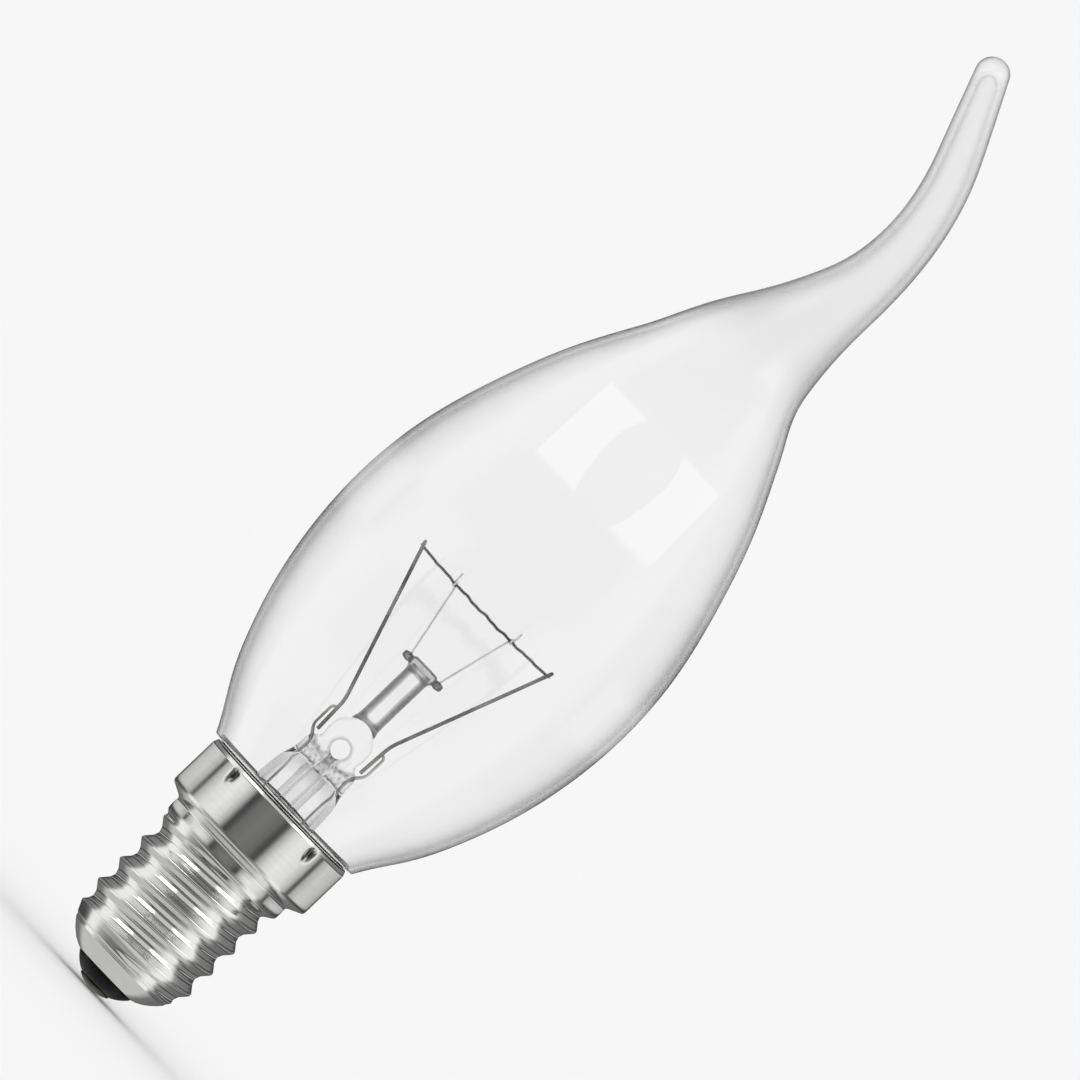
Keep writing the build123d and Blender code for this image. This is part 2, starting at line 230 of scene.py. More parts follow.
def tube(path: np.ndarray, radius: float | np.ndarray, sides: int, level: Triple) -> np.ndarray:
    """Grid of a circle carried along a path and held square to it.

    The circle's first axis is the level direction with its share along the path taken off, and
    the second is square to both.

    Args:
        path: Points of the path.
        radius: Radius, one for all or one for each point.
        sides: Points round the circle.
        level: A direction that the path never takes.

    Returns:
        Array of path points by sides by 3.
    """
    along = np.gradient(path, axis=0)
    along /= np.linalg.norm(along, axis=1)[:, None]
    first = np.asarray(level) - (along @ np.asarray(level))[:, None] * along
    first /= np.linalg.norm(first, axis=1)[:, None]
    second = np.cross(along, first)
    angle = circle(sides)[None, :, None]
    size = np.broadcast_to(np.asarray(radius, float), (len(path),))[:, None, None]
    return path[:, None] + size * (np.cos(angle) * first[:, None] + np.sin(angle) * second[:, None])


def bubbles(centres: np.ndarray, radii: np.ndarray, rings: int = 7, sides: int = 10) -> np.ndarray:
    """Grids of small round bubbles, each a half circle turned round Z without its two poles.

    Args:
        centres: Centre of each bubble.
        radii: Radius of each bubble.
        rings: Rows from pole to pole.
        sides: Points round each row.

    Returns:
        Array of bubbles by rings by sides by 3.
    """
    tilt = np.linspace(-np.pi / 2, np.pi / 2, rings + 2)[1:-1]
    unit = turned(np.column_stack((np.cos(tilt), np.sin(tilt))), sides)
    return centres[:, None, None] + radii[:, None, None, None] * unit


@dataclass
class Shape:
    """Vertices and faces of one closed piece, gathered from grids.

    Attributes:
        points: Vertex rows in millimetres.
        faces: Corner numbers of each face.
    """

    points: np.ndarray = field(default_factory=lambda: np.zeros((0, 3)))
    faces: list[list[int]] = field(default_factory=list)

    def add(self, grid: np.ndarray, ring: bool = False, hollow: bool = False) -> Shape:
        """Add a grid that closes round its columns and turn its faces outward.

        Args:
            grid: Array of rows by columns by 3.
            ring: Join the last row to the first; otherwise both end rows close on a middle point.
            hollow: Turn the faces inward, as for a bubble.

        Returns:
            The shape itself.
        """
        rows, columns = grid.shape[:2]
        number = np.arange(rows * columns).reshape(rows, columns)
        lower = number if ring else number[:-1]
        upper = np.roll(number, -1, axis=0) if ring else number[1:]
        quads = np.stack(
            (lower, np.roll(lower, -1, 1), np.roll(upper, -1, 1), upper), axis=-1
        ).reshape(-1, 4)
        points = grid.reshape(-1, 3)
        fans = np.zeros((0, 3), int)
        if not ring:
            first, last = rows * columns, rows * columns + 1
            points = np.vstack((points, grid[0].mean(axis=0), grid[-1].mean(axis=0)))
            start, end = number[0], number[-1]
            fans = np.vstack((
                np.column_stack((np.roll(start, -1), start, np.full(columns, first))),
                np.column_stack((end, np.roll(end, -1), np.full(columns, last))),
            ))
        triangles = np.vstack((quads[:, [0, 1, 2]], quads[:, [0, 2, 3]], fans))
        a, b, c = (points[triangles[:, i]] for i in range(3))
        outward = np.einsum("ij,ij->", a, np.cross(b, c)) > 0
        if outward == hollow:
            quads, fans = quads[:, ::-1], fans[:, ::-1]
        base = len(self.points)
        self.points = np.vstack((self.points, points))
        self.faces += (quads + base).tolist() + (fans + base).tolist()
        return self

    def mesh(self, name: str, crease: float = 50.0) -> Piece:
        """Make a linked mesh object of the shape.

        Args:
            name: Name of the object.
            crease: Edges bent by more than this many degrees stay sharp.

        Returns:
            The object, at the origin.
        """
        data = bpy.data.meshes.new(name)
        data.from_pydata(self.points * MM, [], self.faces)
        data.polygons.foreach_set("use_smooth", np.ones(len(data.polygons), bool))
        data.set_sharp_from_angle(angle=math.radians(crease))
        data.update()
        piece = bpy.data.objects.new(name, data)
        bpy.context.scene.collection.objects.link(piece)
        return piece


def combine(piece: Piece, tool: Piece, merge: Merge) -> None:
    """Join or cut a piece by a second object, which is then removed.

    Args:
        piece: The object that is kept.
        tool: The object that is used up.
        merge: What is done with it.
    """
    modifier = piece.modifiers.new("combine", "BOOLEAN")
    modifier.operation = merge.value
    modifier.solver = "EXACT"
    modifier.object = tool
    graph = bpy.context.evaluated_depsgraph_get()
    made = bpy.data.meshes.new_from_object(piece.evaluated_get(graph))
    piece.modifiers.clear()
    old, piece.data = piece.data, made
    made.name = old.name
    bpy.data.meshes.remove(old)
    bpy.data.meshes.remove(tool.data)


# Finishes


def grey(value: float) -> Triple:
    """The same value in all three channels."""
    return (value, value, value)


class Nodes:
    """A node tree with short ways to add and join nodes.

    Attributes:
        noise_span: Values between which nearly all of a noise lies.
    """

    noise_span: Pair = (0.3, 0.7)

    def __init__(self, tree: bpy.types.NodeTree) -> None:
        """Start from an empty tree."""
        self.tree = tree
        tree.nodes.clear()

    def add(
        self, kind: str, values: dict[str | int, object] | None = None, **settings: object
    ) -> bpy.types.Node:
        """Add a node.

        Args:
            kind: Node type without its ShaderNode prefix.
            values: Constants by input name or number; a socket is linked instead.
            **settings: Properties of the node.

        Returns:
            The new node.
        """
        node = self.tree.nodes.new("ShaderNode" + kind)
        for name, value in settings.items():
            setattr(node, name, value)
        for name, value in (values or {}).items():
            if isinstance(value, Socket):
                self.tree.links.new(value, node.inputs[name])
            else:
                node.inputs[name].default_value = value
        return node

    def math(self, operation: str, *values: object) -> Socket:
        """Result of a Math node on up to three values."""
        return self.add("Math", dict(enumerate(values)), operation=operation).outputs[0]

    def noise(self, place: Socket, scale: float, detail: Detail = Detail.PLAIN) -> Socket:
        """Noise from 0 to 1 at a place, with features of about 1 / scale metres."""
        values = {"Vector": place, "Scale": scale, "Detail": detail.value}
        return self.add("TexNoise", values).outputs["Fac"]

    def stretched(self, scale: Triple = (1.0, 1.0, 1.0)) -> Socket:
        """Object coordinates stretched along their axes."""
        place = self.add("TexCoord").outputs["Object"]
        return self.add("Mapping", {"Vector": place, "Scale": scale}).outputs[0]

    def ramp(self, factor: Socket, stops: list[tuple[float, Triple]]) -> Socket:
        """Colour ramp.

        Args:
            factor: Place on the ramp.
            stops: Place and colour of each stop.

        Returns:
            The colour.
        """
        node = self.add("ValToRGB", {"Fac": factor})
        band = node.color_ramp.elements
        while len(band) < len(stops):
            band.new(0.5)
        for element, (place, colour) in zip(band, stops):
            element.position = place
            element.color = (*colour, 1.0)
        return node.outputs["Color"]

    def shades(self, factor: Socket, stops: Table) -> Socket:
        """Grey ramp through (place, brightness) stops."""
        return self.ramp(factor, [(place, grey(value)) for place, value in stops])

    def mix(self, share: object, first: object, second: object, blend: str = "MIX") -> Socket:
        """Mix of two colours.

        Args:
            share: Share of the second colour.
            first: A socket, or a brightness.
            second: A socket, or a brightness.
            blend: Blend type of the node.

        Returns:
            The colour.
        """
        colours = (v if isinstance(v, Socket) else (*grey(v), 1.0) for v in (first, second))
        values = dict(enumerate((share, *colours)))
        return self.add("MixRGB", values, blend_type=blend).outputs[0]

    def between(self, value: Socket, low: float, high: float) -> Socket:
        """Share of the way from low to high, held at 0 and 1 beyond them."""
        return self.add("MapRange", {"Value": value, 1: low, 2: high}).outputs[0]

    def level(self, noise: Socket, low: float, high: float) -> Socket:
        """A noise spread from low to high."""
        values = {"Value": noise, 1: self.noise_span[0], 2: self.noise_span[1], 3: low, 4: high}
        return self.add("MapRange", values).outputs[0]

    def bump(self, height: Socket, strength: float, distance: float) -> Socket:
        """Normal bent by a height, with the distance in metres."""
        values = {"Height": height, "Strength": strength, "Distance": distance}
        return self.add("Bump", values).outputs[0]

    def surface(self, values: dict[str | int, object]) -> None:
        """Close the tree with a Principled shader."""
        shader = self.add("BsdfPrincipled", values)
        self.add("OutputMaterial", {"Surface": shader.outputs[0]})


def new_material(name: str) -> tuple[bpy.types.Material, Nodes]:
    """Make an empty node material.

    Args:
        name: Name of the material.

    Returns:
        The material and its tree.
    """
    material = bpy.data.materials.new(name)
    material.use_nodes = True
    return material, Nodes(material.node_tree)


@dataclass(frozen=True)
class ShadeCloud:
    """Glass made dimmer by the distance from a centre: painted shade, which over the bubbly press also
    stands partly for the bubbles' own grey.

    Attributes:
        along: 1 for each axis that the distance is measured along and 0 for the others.
        stops: Distance in millimetres and the share of light that passes there.
        centre: The centre in millimetres.
        patch: Size of the patches that vary it, per metre.
        depth: Change of the loss from patch to patch, as a share of it.
        margin: Length in millimetres that the ramp reaches past its end stops.
    """

    along: Triple
    stops: Table
    centre: Triple = (0.0, 0.0, 0.0)
    patch: float = 1800.0
    depth: float = 0.4
    margin: float = 0.1

    def share(self, nodes: Nodes, place: Socket) -> Socket:
        """Share of light that passes at a place.

        Args:
            nodes: Tree to build in.
            place: Object coordinates.

        Returns:
            The share.
        """
        low, high = self.stops[0][0] - self.margin, self.stops[-1][0] + self.margin
        start = tuple(-MM * at * on for at, on in zip(self.centre, self.along))
        values = {"Vector": place, "Location": start, "Scale": self.along}
        moved = nodes.add("Mapping", values).outputs[0]
        length = nodes.add("VectorMath", {0: moved}, operation="LENGTH").outputs["Value"]
        along = nodes.between(length, low * MM, high * MM)
        most, least = 1.0 + 0.5 * self.depth, 1.0 - 0.5 * self.depth
        drift = nodes.level(nodes.noise(place, self.patch, Detail.EVEN), most, least)
        stops = tuple(((mm - low) / (high - low), 1 - passed) for mm, passed in self.stops)
        lost = nodes.math("MULTIPLY", nodes.shades(along, stops), drift)
        return nodes.math("SUBTRACT", 1.0, lost)


@dataclass(frozen=True)
class GlassFinish:
    """Clear glass with faint waves, with painted shade where it is seen along its wall.

    Attributes:
        name: Name of the material.
        edge: Facing, from 0 square on to 1 along the wall, and how much light passes there, which paints
            shade at the glass's edges.
        ior: Refractive index.
        wave: Size of the waves, per metre.
        lift: Height of the waves in metres.
        drawn: Roughness of the drawn end.
        drawn_edge_shade: Light that passes by the facing at the drawn end, where it differs: the drawn
            end's painted edge shade.
        drawn_from: Heights in millimetres between which the drawn end's painted edge shade sets in.
        rough_from: Heights in millimetres between which its roughness sets in.
        shade_clouds: Stretches with painted shade.
        stretch: Scale of the waves along each axis.
        drift: Largest change of the facing by the waves.
        relief: Strength of the waves.
    """

    name: str
    edge: Table
    ior: float = 1.5
    wave: float = 70.0
    lift: float = 0.00002
    drawn: float = 0.0
    drawn_edge_shade: Table = ()
    drawn_from: Pair = (84.0, 102.0)
    rough_from: Pair = (80.0, 88.0)
    shade_clouds: tuple[ShadeCloud, ...] = ()
    stretch: Triple = (1.0, 1.0, 0.5)
    drift: float = 0.015
    relief: float = 0.5

    def material(self) -> bpy.types.Material:
        """Build the material.

        Returns:
            The material.
        """
        material, nodes = new_material(self.name)
        waves = nodes.noise(nodes.stretched(self.stretch), self.wave, Detail.SOFT)
        facing = nodes.add("LayerWeight", {"Blend": 0.5}).outputs["Facing"]
        facing = nodes.math("ADD", facing, nodes.level(waves, -self.drift, self.drift))
        place = nodes.add("TexCoord").outputs["Object"]
        height = nodes.add("SeparateXYZ", {0: place}).outputs["Z"]
        drawn, rough = (
            nodes.between(height, MM * start, MM * end)
            for start, end in (self.drawn_from, self.rough_from)
        )
        # Painted shade: the glass's colour darkens as its wall turns edge-on, and each cloud darkens it
        # more
        colour = nodes.shades(facing, self.edge)
        if self.drawn_edge_shade:
            colour = nodes.mix(drawn, colour, nodes.shades(facing, self.drawn_edge_shade))
        for cloud in self.shade_clouds:
            colour = nodes.mix(1.0, colour, cloud.share(nodes, place), "MULTIPLY")
        nodes.surface({
            "Base Color": colour,
            "Roughness": nodes.math("MULTIPLY", rough, self.drawn),
            "IOR": self.ior,
            "Transmission Weight": 1.0,
            "Normal": nodes.bump(waves, self.relief, self.lift),
        })
        return material


@dataclass(frozen=True)
class WireFinish:
    """Drawn wire with a stain that comes and goes along it.

    Attributes:
        name: Name of the material.
        clean: Colour where the wire is clean.
        stained: Colour where it is oxidised.
        roughness: Lowest and highest roughness.
        patch: Size of the stains, per metre.
        stain_from: Noise below which the wire is stained and above which it is clean.
        lines: Size of the drawing lines, per metre.
        line_stretch: Scale of the lines along each axis.
        relief: Strength of the lines and their height in metres.
    """

    name: str
    clean: Triple
    stained: Triple
    roughness: Pair = (0.25, 0.5)
    patch: float = 260.0
    stain_from: Pair = (0.35, 0.62)
    lines: float = 2500.0
    line_stretch: Triple = (9.0, 9.0, 0.4)
    relief: Pair = (0.25, 0.00001)

    def material(self) -> bpy.types.Material:
        """Build the material.

        Returns:
            The material.
        """
        material, nodes = new_material(self.name)
        stain = nodes.noise(nodes.stretched(), self.patch)
        lines = nodes.noise(nodes.stretched(self.line_stretch), self.lines, Detail.EVEN)
        smooth, rough = self.roughness
        nodes.surface({
            "Base Color": nodes.ramp(stain, list(zip(self.stain_from, (self.stained, self.clean)))),
            "Metallic": 1.0,
            "Roughness": nodes.level(stain, rough, smooth),
            "Normal": nodes.bump(lines, *self.relief),
        })
        return material


@dataclass(frozen=True)
class PlateFinish:
    """Bright nickel plate on drawn sheet, with stains, fine rolling lines round it and painted shade in its
    dents.

    Attributes:
        name: Name of the material.
        bright: Colour of the clean plate.
        dull: Colour of the handled plate.
        dent_shade: Brightness of the painted shade in the dents.
        attribute: Mesh attribute that tells how much painted shade there is, from 0 to 1.
        stain: Size of the stains, per metre, and their share in the tone.
        rolled: Size of the rolling lines, per metre, and their share in the tone.
        roll_stretch: Scale of the rolling lines along each axis.
        grain: Size of the grain, per metre, and its share in the relief.
        tone_from: Tone at which the plate is dull and at which it is bright.
        roughness: Roughness of the dull and of the bright plate.
        relief: Strength of the relief and its height in metres.
    """

    name: str
    bright: Triple = (0.84, 0.84, 0.83)
    dull: Triple = (0.79, 0.79, 0.78)
    dent_shade: float = 0.10
    attribute: str = "dent_shade"
    stain: Pair = (240.0, 0.6)
    rolled: Pair = (420.0, 0.4)
    roll_stretch: Triple = (0.25, 0.25, 14.0)
    grain: Pair = (5200.0, 0.3)
    tone_from: Pair = (0.38, 0.6)
    roughness: Pair = (0.16, 0.08)
    relief: Pair = (0.035, 0.00001)

    def material(self) -> bpy.types.Material:
        """Build the material.

        Returns:
            The material.
        """
        material, nodes = new_material(self.name)
        place = nodes.stretched()
        stain = nodes.noise(place, self.stain[0], Detail.FINE)
        rolled = nodes.noise(nodes.stretched(self.roll_stretch), self.rolled[0])
        grain = nodes.noise(place, self.grain[0], Detail.EVEN)
        stain_part = nodes.math("MULTIPLY", stain, self.stain[1])
        tone = nodes.math("ADD", stain_part, nodes.math("MULTIPLY", rolled, self.rolled[1]))
        # Painted shade in the dents: the plate's colour darkens by the dents' depth, carried in a mesh
        # attribute
        dent_shade_mask = nodes.add("Attribute", attribute_name=self.attribute).outputs["Fac"]
        plate = nodes.ramp(tone, list(zip(self.tone_from, (self.dull, self.bright))))
        relief = nodes.math("ADD", rolled, nodes.math("MULTIPLY", grain, self.grain[1]))
        nodes.surface({
            "Base Color": nodes.mix(dent_shade_mask, plate, self.dent_shade),
            "Metallic": 1.0,
            "Roughness": nodes.level(tone, *self.roughness),
            "Normal": nodes.bump(relief, *self.relief),
        })
        return material


@dataclass(frozen=True)
class DullFinish:
    """A plain dense body such as black glass, solder or cement, with specks and a fine grain.

    Attributes:
        name: Name of the material.
        dark: Colour of the dark specks.
        light: Colour of the body.
        metallic: 1 for a metal.
        roughness: Lowest and highest roughness.
        speck: Size of the specks, per metre.
        lift: Height of the grain in metres.
        shine: Strength of the clear reflection.
        speck_from: Noise below which a speck is dark and above which the body is clear.
        grain: Fineness of the grain as a multiple of the specks'.
        relief: Strength of the grain.
    """

    name: str
    dark: Triple
    light: Triple
    metallic: float = 0.0
    roughness: Pair = (0.3, 0.5)
    speck: float = 900.0
    lift: float = 0.00004
    shine: float = 0.5
    speck_from: Pair = (0.36, 0.62)
    grain: float = 3.0
    relief: float = 0.4

    def material(self) -> bpy.types.Material:
        """Build the material.

        Returns:
            The material.
        """
        material, nodes = new_material(self.name)
        place = nodes.stretched()
        specks = nodes.noise(place, self.speck, Detail.FINE)
        grain = nodes.noise(place, self.grain * self.speck)
        nodes.surface({
            "Base Color": nodes.ramp(specks, list(zip(self.speck_from, (self.dark, self.light)))),
            "Metallic": self.metallic,
            "Roughness": nodes.level(specks, *self.roughness),
            "Specular IOR Level": self.shine,
            "Normal": nodes.bump(grain, self.relief, self.lift),
        })
        return material


# Facing and light that passes, for each glass: painted shade that darkens the glass where its wall is seen
# edge-on, standing in for the dark surroundings it would show there
BULB_EDGE_SHADE = (
    (0.30, 0.97), (0.44, 0.97), (0.53, 0.94), (0.63, 0.84), (0.72, 0.65), (0.79, 0.44), (1.0, 0.3),
)
TAIL_EDGE_SHADE = ((0.08, 0.98), (0.16, 0.94), (0.3, 0.83), (0.5, 0.68), (0.62, 0.46), (1.0, 0.34))
FLARE_EDGE_SHADE = ((0.22, 0.99), (0.33, 0.88), (0.45, 0.78), (0.6, 0.74), (0.8, 0.76), (1.0, 0.8))
TUBE_EDGE_SHADE = ((0.1, 0.99), (0.16, 0.8), (0.3, 0.72), (0.6, 0.66), (1.0, 0.5))
ROD_EDGE_SHADE = (
    (0.065, 0.97), (0.11, 0.35), (0.2, 0.12), (0.45, 0.08), (0.62, 0.25), (0.8, 0.6), (1.0, 0.7),
)

# Directions in which a cloud's distance is measured
ACROSS = (1.0, 0.0, 0.0)
UPWARD = (0.0, 0.0, 1.0)
IN_FRONT = (1.0, 0.0, 1.0)

# Painted shade in the stem: over the bubbly press, where it stands partly for the bubbles' own grey, round
# the rim of its blow hole, in an arc over the press's shoulders and along its side walls
STEM_SHADE_CLOUDS = (
    ShadeCloud(UPWARD, ((29.1, 1.0), (29.6, 0.82), (31.0, 0.78), (31.5, 1.0)), depth=1.6),
    ShadeCloud(IN_FRONT, ((0.8, 1.0), (0.92, 0.55), (1.1, 0.6), (1.3, 1.0)), (0.0, 0.0, 32.4)),
    ShadeCloud(IN_FRONT, ((4.1, 1.0), (4.24, 0.62), (4.42, 0.6), (4.58, 1.0)), (0.0, 0.0, 35.0)),
    ShadeCloud(ACROSS, ((3.05, 1.0), (3.35, 0.8), (3.6, 0.68), (3.9, 0.74))),
)
# Painted shade in the rod: at its joint with the press, over its button and on the button's two knobs
ROD_SHADE_CLOUDS = (
    ShadeCloud(IN_FRONT, ((2.05, 0.2), (2.2, 0.3), (2.45, 1.0)), (0.0, 0.0, 33.7)),
    ShadeCloud(UPWARD, ((42.25, 1.0), (42.5, 0.62))),
    ShadeCloud(ACROSS, ((1.4, 1.0), (1.6, 0.4))),
)
# Low index of the stacked walls in the stem, which would otherwise come out too dark
STEM_INDEX = 1.22
# Fine waves of pressed and drawn stem glass, per metre
STEM_WAVE = 300.0

FINISHES = {
    Slot.CLEAR_GLASS: GlassFinish("blown_glass", BULB_EDGE_SHADE, drawn=0.25, drawn_edge_shade=TAIL_EDGE_SHADE),
    Slot.STEM_GLASS: GlassFinish(
        "stem_glass", FLARE_EDGE_SHADE, STEM_INDEX, STEM_WAVE, 0.000004, shade_clouds=STEM_SHADE_CLOUDS
    ),
    Slot.TUNGSTEN: WireFinish("tungsten", (0.20, 0.20, 0.21), (0.09, 0.09, 0.095), (0.4, 0.6)),
    Slot.SUPPORT_WIRE: WireFinish("support_wire", grey(0.92), grey(0.76), (0.45, 0.6)),
    Slot.NICKEL_WIRE: WireFinish("nickel_wire", grey(0.24), grey(0.08)),
    Slot.SEAL_WIRE: WireFinish("seal_wire", (0.56, 0.53, 0.51), (0.26, 0.24, 0.23)),
    Slot.PLATED_SHEET: PlateFinish("nickel_plate"),
    Slot.BLACK_GLASS: DullFinish(
        "black_glass", grey(0.003), grey(0.007), roughness=(0.16, 0.34), shine=0.12
    ),
    Slot.EYELET_BRASS: DullFinish("eyelet_brass", (0.045, 0.038, 0.028), (0.12, 0.1, 0.065), 1.0),
    Slot.SOLDER: DullFinish("solder", (0.05, 0.05, 0.052), (0.15, 0.15, 0.155), 1.0),
    Slot.CEMENT: DullFinish(
        "cement", (0.70, 0.67, 0.62), (0.84, 0.82, 0.78), roughness=(0.8, 0.95)
    ),
}
OUTER_WIRE = WireFinish("outer_wire", (0.66, 0.64, 0.62), (0.4, 0.38, 0.37))
TUBE_GLASS = GlassFinish("tube_glass", TUBE_EDGE_SHADE, STEM_INDEX, STEM_WAVE, 0.000004)
ROD_GLASS = GlassFinish("rod_glass", ROD_EDGE_SHADE, 1.54, STEM_WAVE, 0.00001, shade_clouds=ROD_SHADE_CLOUDS)


class Wardrobe:
    """Hands out one material for each finish."""

    def __init__(self) -> None:
        """Build every finish once."""
        finishes = (*FINISHES.values(), TUBE_GLASS, ROD_GLASS, OUTER_WIRE)
        self.materials = {finish.name: finish.material() for finish in finishes}

    def dress(
        self,
        piece: Piece,
        slot: Slot,
        node: str | None = None,
        finish: GlassFinish | WireFinish | None = None,
    ) -> None:
        """Give a piece its finish, its place on the lamp's body and the CAD node it stands for.

        Args:
            piece: The object.
            slot: Slot of the record that the finish belongs to.
            node: CAD node that the piece replaces, or None for a node carried over.
            finish: A finish of the piece's own, in place of its slot's.
        """
        piece.data.materials.clear()
        piece.data.materials.append(self.materials[(finish or FINISHES[slot]).name])
        if node is not None:
            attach(piece, BODY)
            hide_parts(node)
        LOG.info("%s: %d faces, %s", piece.name, len(piece.data.polygons), slot.value)


# The lamp


@dataclass
class Envelope:
    """The blown bulb: neck, belly and the drawn tail that sways out and back.

    Attributes:
        outline: Distance along the centre line and outside radius.
        neck: Height of the neck's lower end.
        neck_radius: Outside radius of the neck.
        collar: Heights between which the neck widens to the body.
        collar_lead: Length below the collar at which its close rows start.
        belly: Height above which the rows are spread evenly.
        bend_start: Distance at which the tail starts to sway.
        sway: Radius and angle of the outward arc.
        straight: Straight run between the arcs.
        back: Radius and angle of the arc back.
        tip: Distance of the tip's centre and its radius.
        walls: Wall in the belly and in the tail.
        gather: Distance above which the wall changes from the belly's to the tail's.
        hollow_end: Distance at which the cavity starts to close.
        hollow_taper: Length over which it closes.
        length: Length of centre line that is worked out, and its number of points.
        blend: Points over which the heading is averaged, so that arcs and straights blend.
        columns: Points round the glass.
    """

    outline: Table = (
        (24.75, 9.02), (26.4, 9.93), (29.87, 12.08), (33.6, 13.85), (38.3, 15.52), (44.8, 16.97),
        (52.3, 17.49), (59.73, 16.75), (67.2, 14.75), (74.67, 11.92), (82.2, 8.09), (89.7, 4.95),
        (97.3, 3.15), (104.8, 2.46), (112.0, 2.18), (121.25, 1.68),
    )
    neck: float = 20.6
    neck_radius: float = 7.9
    collar: Pair = (24.84, 25.04)
    collar_lead: float = 0.1
    belly: float = 26.0
    bend_start: float = 81.6
    sway: Pair = (27.8, 11.1)
    straight: float = 8.4
    back: Pair = (27.4, 36.0)
    tip: Pair = (121.2, 1.66)
    walls: Pair = (0.6, 0.8)
    gather: float = 60.0
    hollow_end: float = 119.6
    hollow_taper: float = 1.7
    length: tuple[float, int] = (125.0, 12501)
    blend: int = 301
    columns: int = 112

    def heading(self, along: np.ndarray) -> np.ndarray:
        """Lean of the centre line: it grows evenly over each arc and stays the same between.

        Args:
            along: Distances along the centre line.

        Returns:
            Lean towards +X at each distance, in radians.
        """
        out, back = np.radians(self.sway[1]), np.radians(self.back[1])
        out_run, back_run = self.sway[0] * out, self.back[0] * back
        back_start = self.bend_start + out_run + self.straight
        out_share = np.clip((along - self.bend_start) / out_run, 0, 1)
        return out * out_share - back * np.clip((along - back_start) / back_run, 0, 1)

    def radius(self, along: np.ndarray) -> np.ndarray:
        """Outside radius: a spline through the outline, eased into the straight neck below.

        Args:
            along: Distances along the centre line.

        Returns:
            Radius at each distance.
        """
        stations, radii = np.transpose(self.outline)
        body = natural_curve(stations, radii, np.maximum(along, stations[0]))
        return self.neck_radius + (body - self.neck_radius) * ease(*self.collar, along)

    def sweep(self, along: np.ndarray, radius: np.ndarray) -> np.ndarray:
        """Circles square to the centre line, which is the running sum of its heading.

        Args:
            along: Distances along the centre line.
            radius: Radius at each distance.

        Returns:
            Array of distances by columns by 3.
        """
        fine = np.linspace(0.0, *self.length)
        step = fine[1] - fine[0]
        padded = np.pad(self.heading(fine), self.blend // 2, "edge")
        lean = np.convolve(padded, np.full(self.blend, 1 / self.blend), "valid")
        x = np.interp(along, fine, np.cumsum(np.sin(lean)) * step)
        z = np.interp(along, fine, (np.cumsum(np.cos(lean)) - np.cos(lean)) * step)
        lean = np.interp(along, fine, lean)[:, None]
        angle = circle(self.columns)
        side, depth = radius[:, None] * np.cos(angle), radius[:, None] * np.sin(angle)
        return np.stack(
            (x[:, None] + side * np.cos(lean), depth, z[:, None] - side * np.sin(lean)), axis=-1
        )

    def build(self) -> Piece:
        """Outer face from the neck to the tip and inner face back, as one closed sheet.

        Both ends close in quarter rounds: the radius falls by the cosine of an angle by whose sine
        the distance grows.

        Returns:
            The piece.
        """
        quarter = np.linspace(0, np.pi / 2, 16)[1:-1]
        low, high = self.collar
        foot = ((low - self.collar_lead, 8), (low, 2), (high, 12), (self.belly, 10))
        outer_at = spread(self.neck, (*foot, (self.tip[0], 150)))
        outer = self.radius(outer_at)
        outer_at = np.concatenate((outer_at, self.tip[0] + self.tip[1] * np.sin(quarter)))
        outer = np.concatenate((outer, outer[-1] * np.cos(quarter)))
        inner_at = spread(self.neck, (*foot, (self.hollow_end, 120)))
        inner = self.radius(inner_at) - np.interp(inner_at, (self.gather, self.tip[0]), self.walls)
        inner_at = np.concatenate((inner_at, self.hollow_end + self.hollow_taper * np.sin(quarter)))
        inner = np.concatenate((inner, inner[-1] * np.cos(quarter)))
        along = np.concatenate((inner_at[::-1], outer_at))
        grid = self.sweep(along, np.concatenate((inner[::-1], outer)))
        return Shape().add(grid).mesh("bulb_envelope_glass")


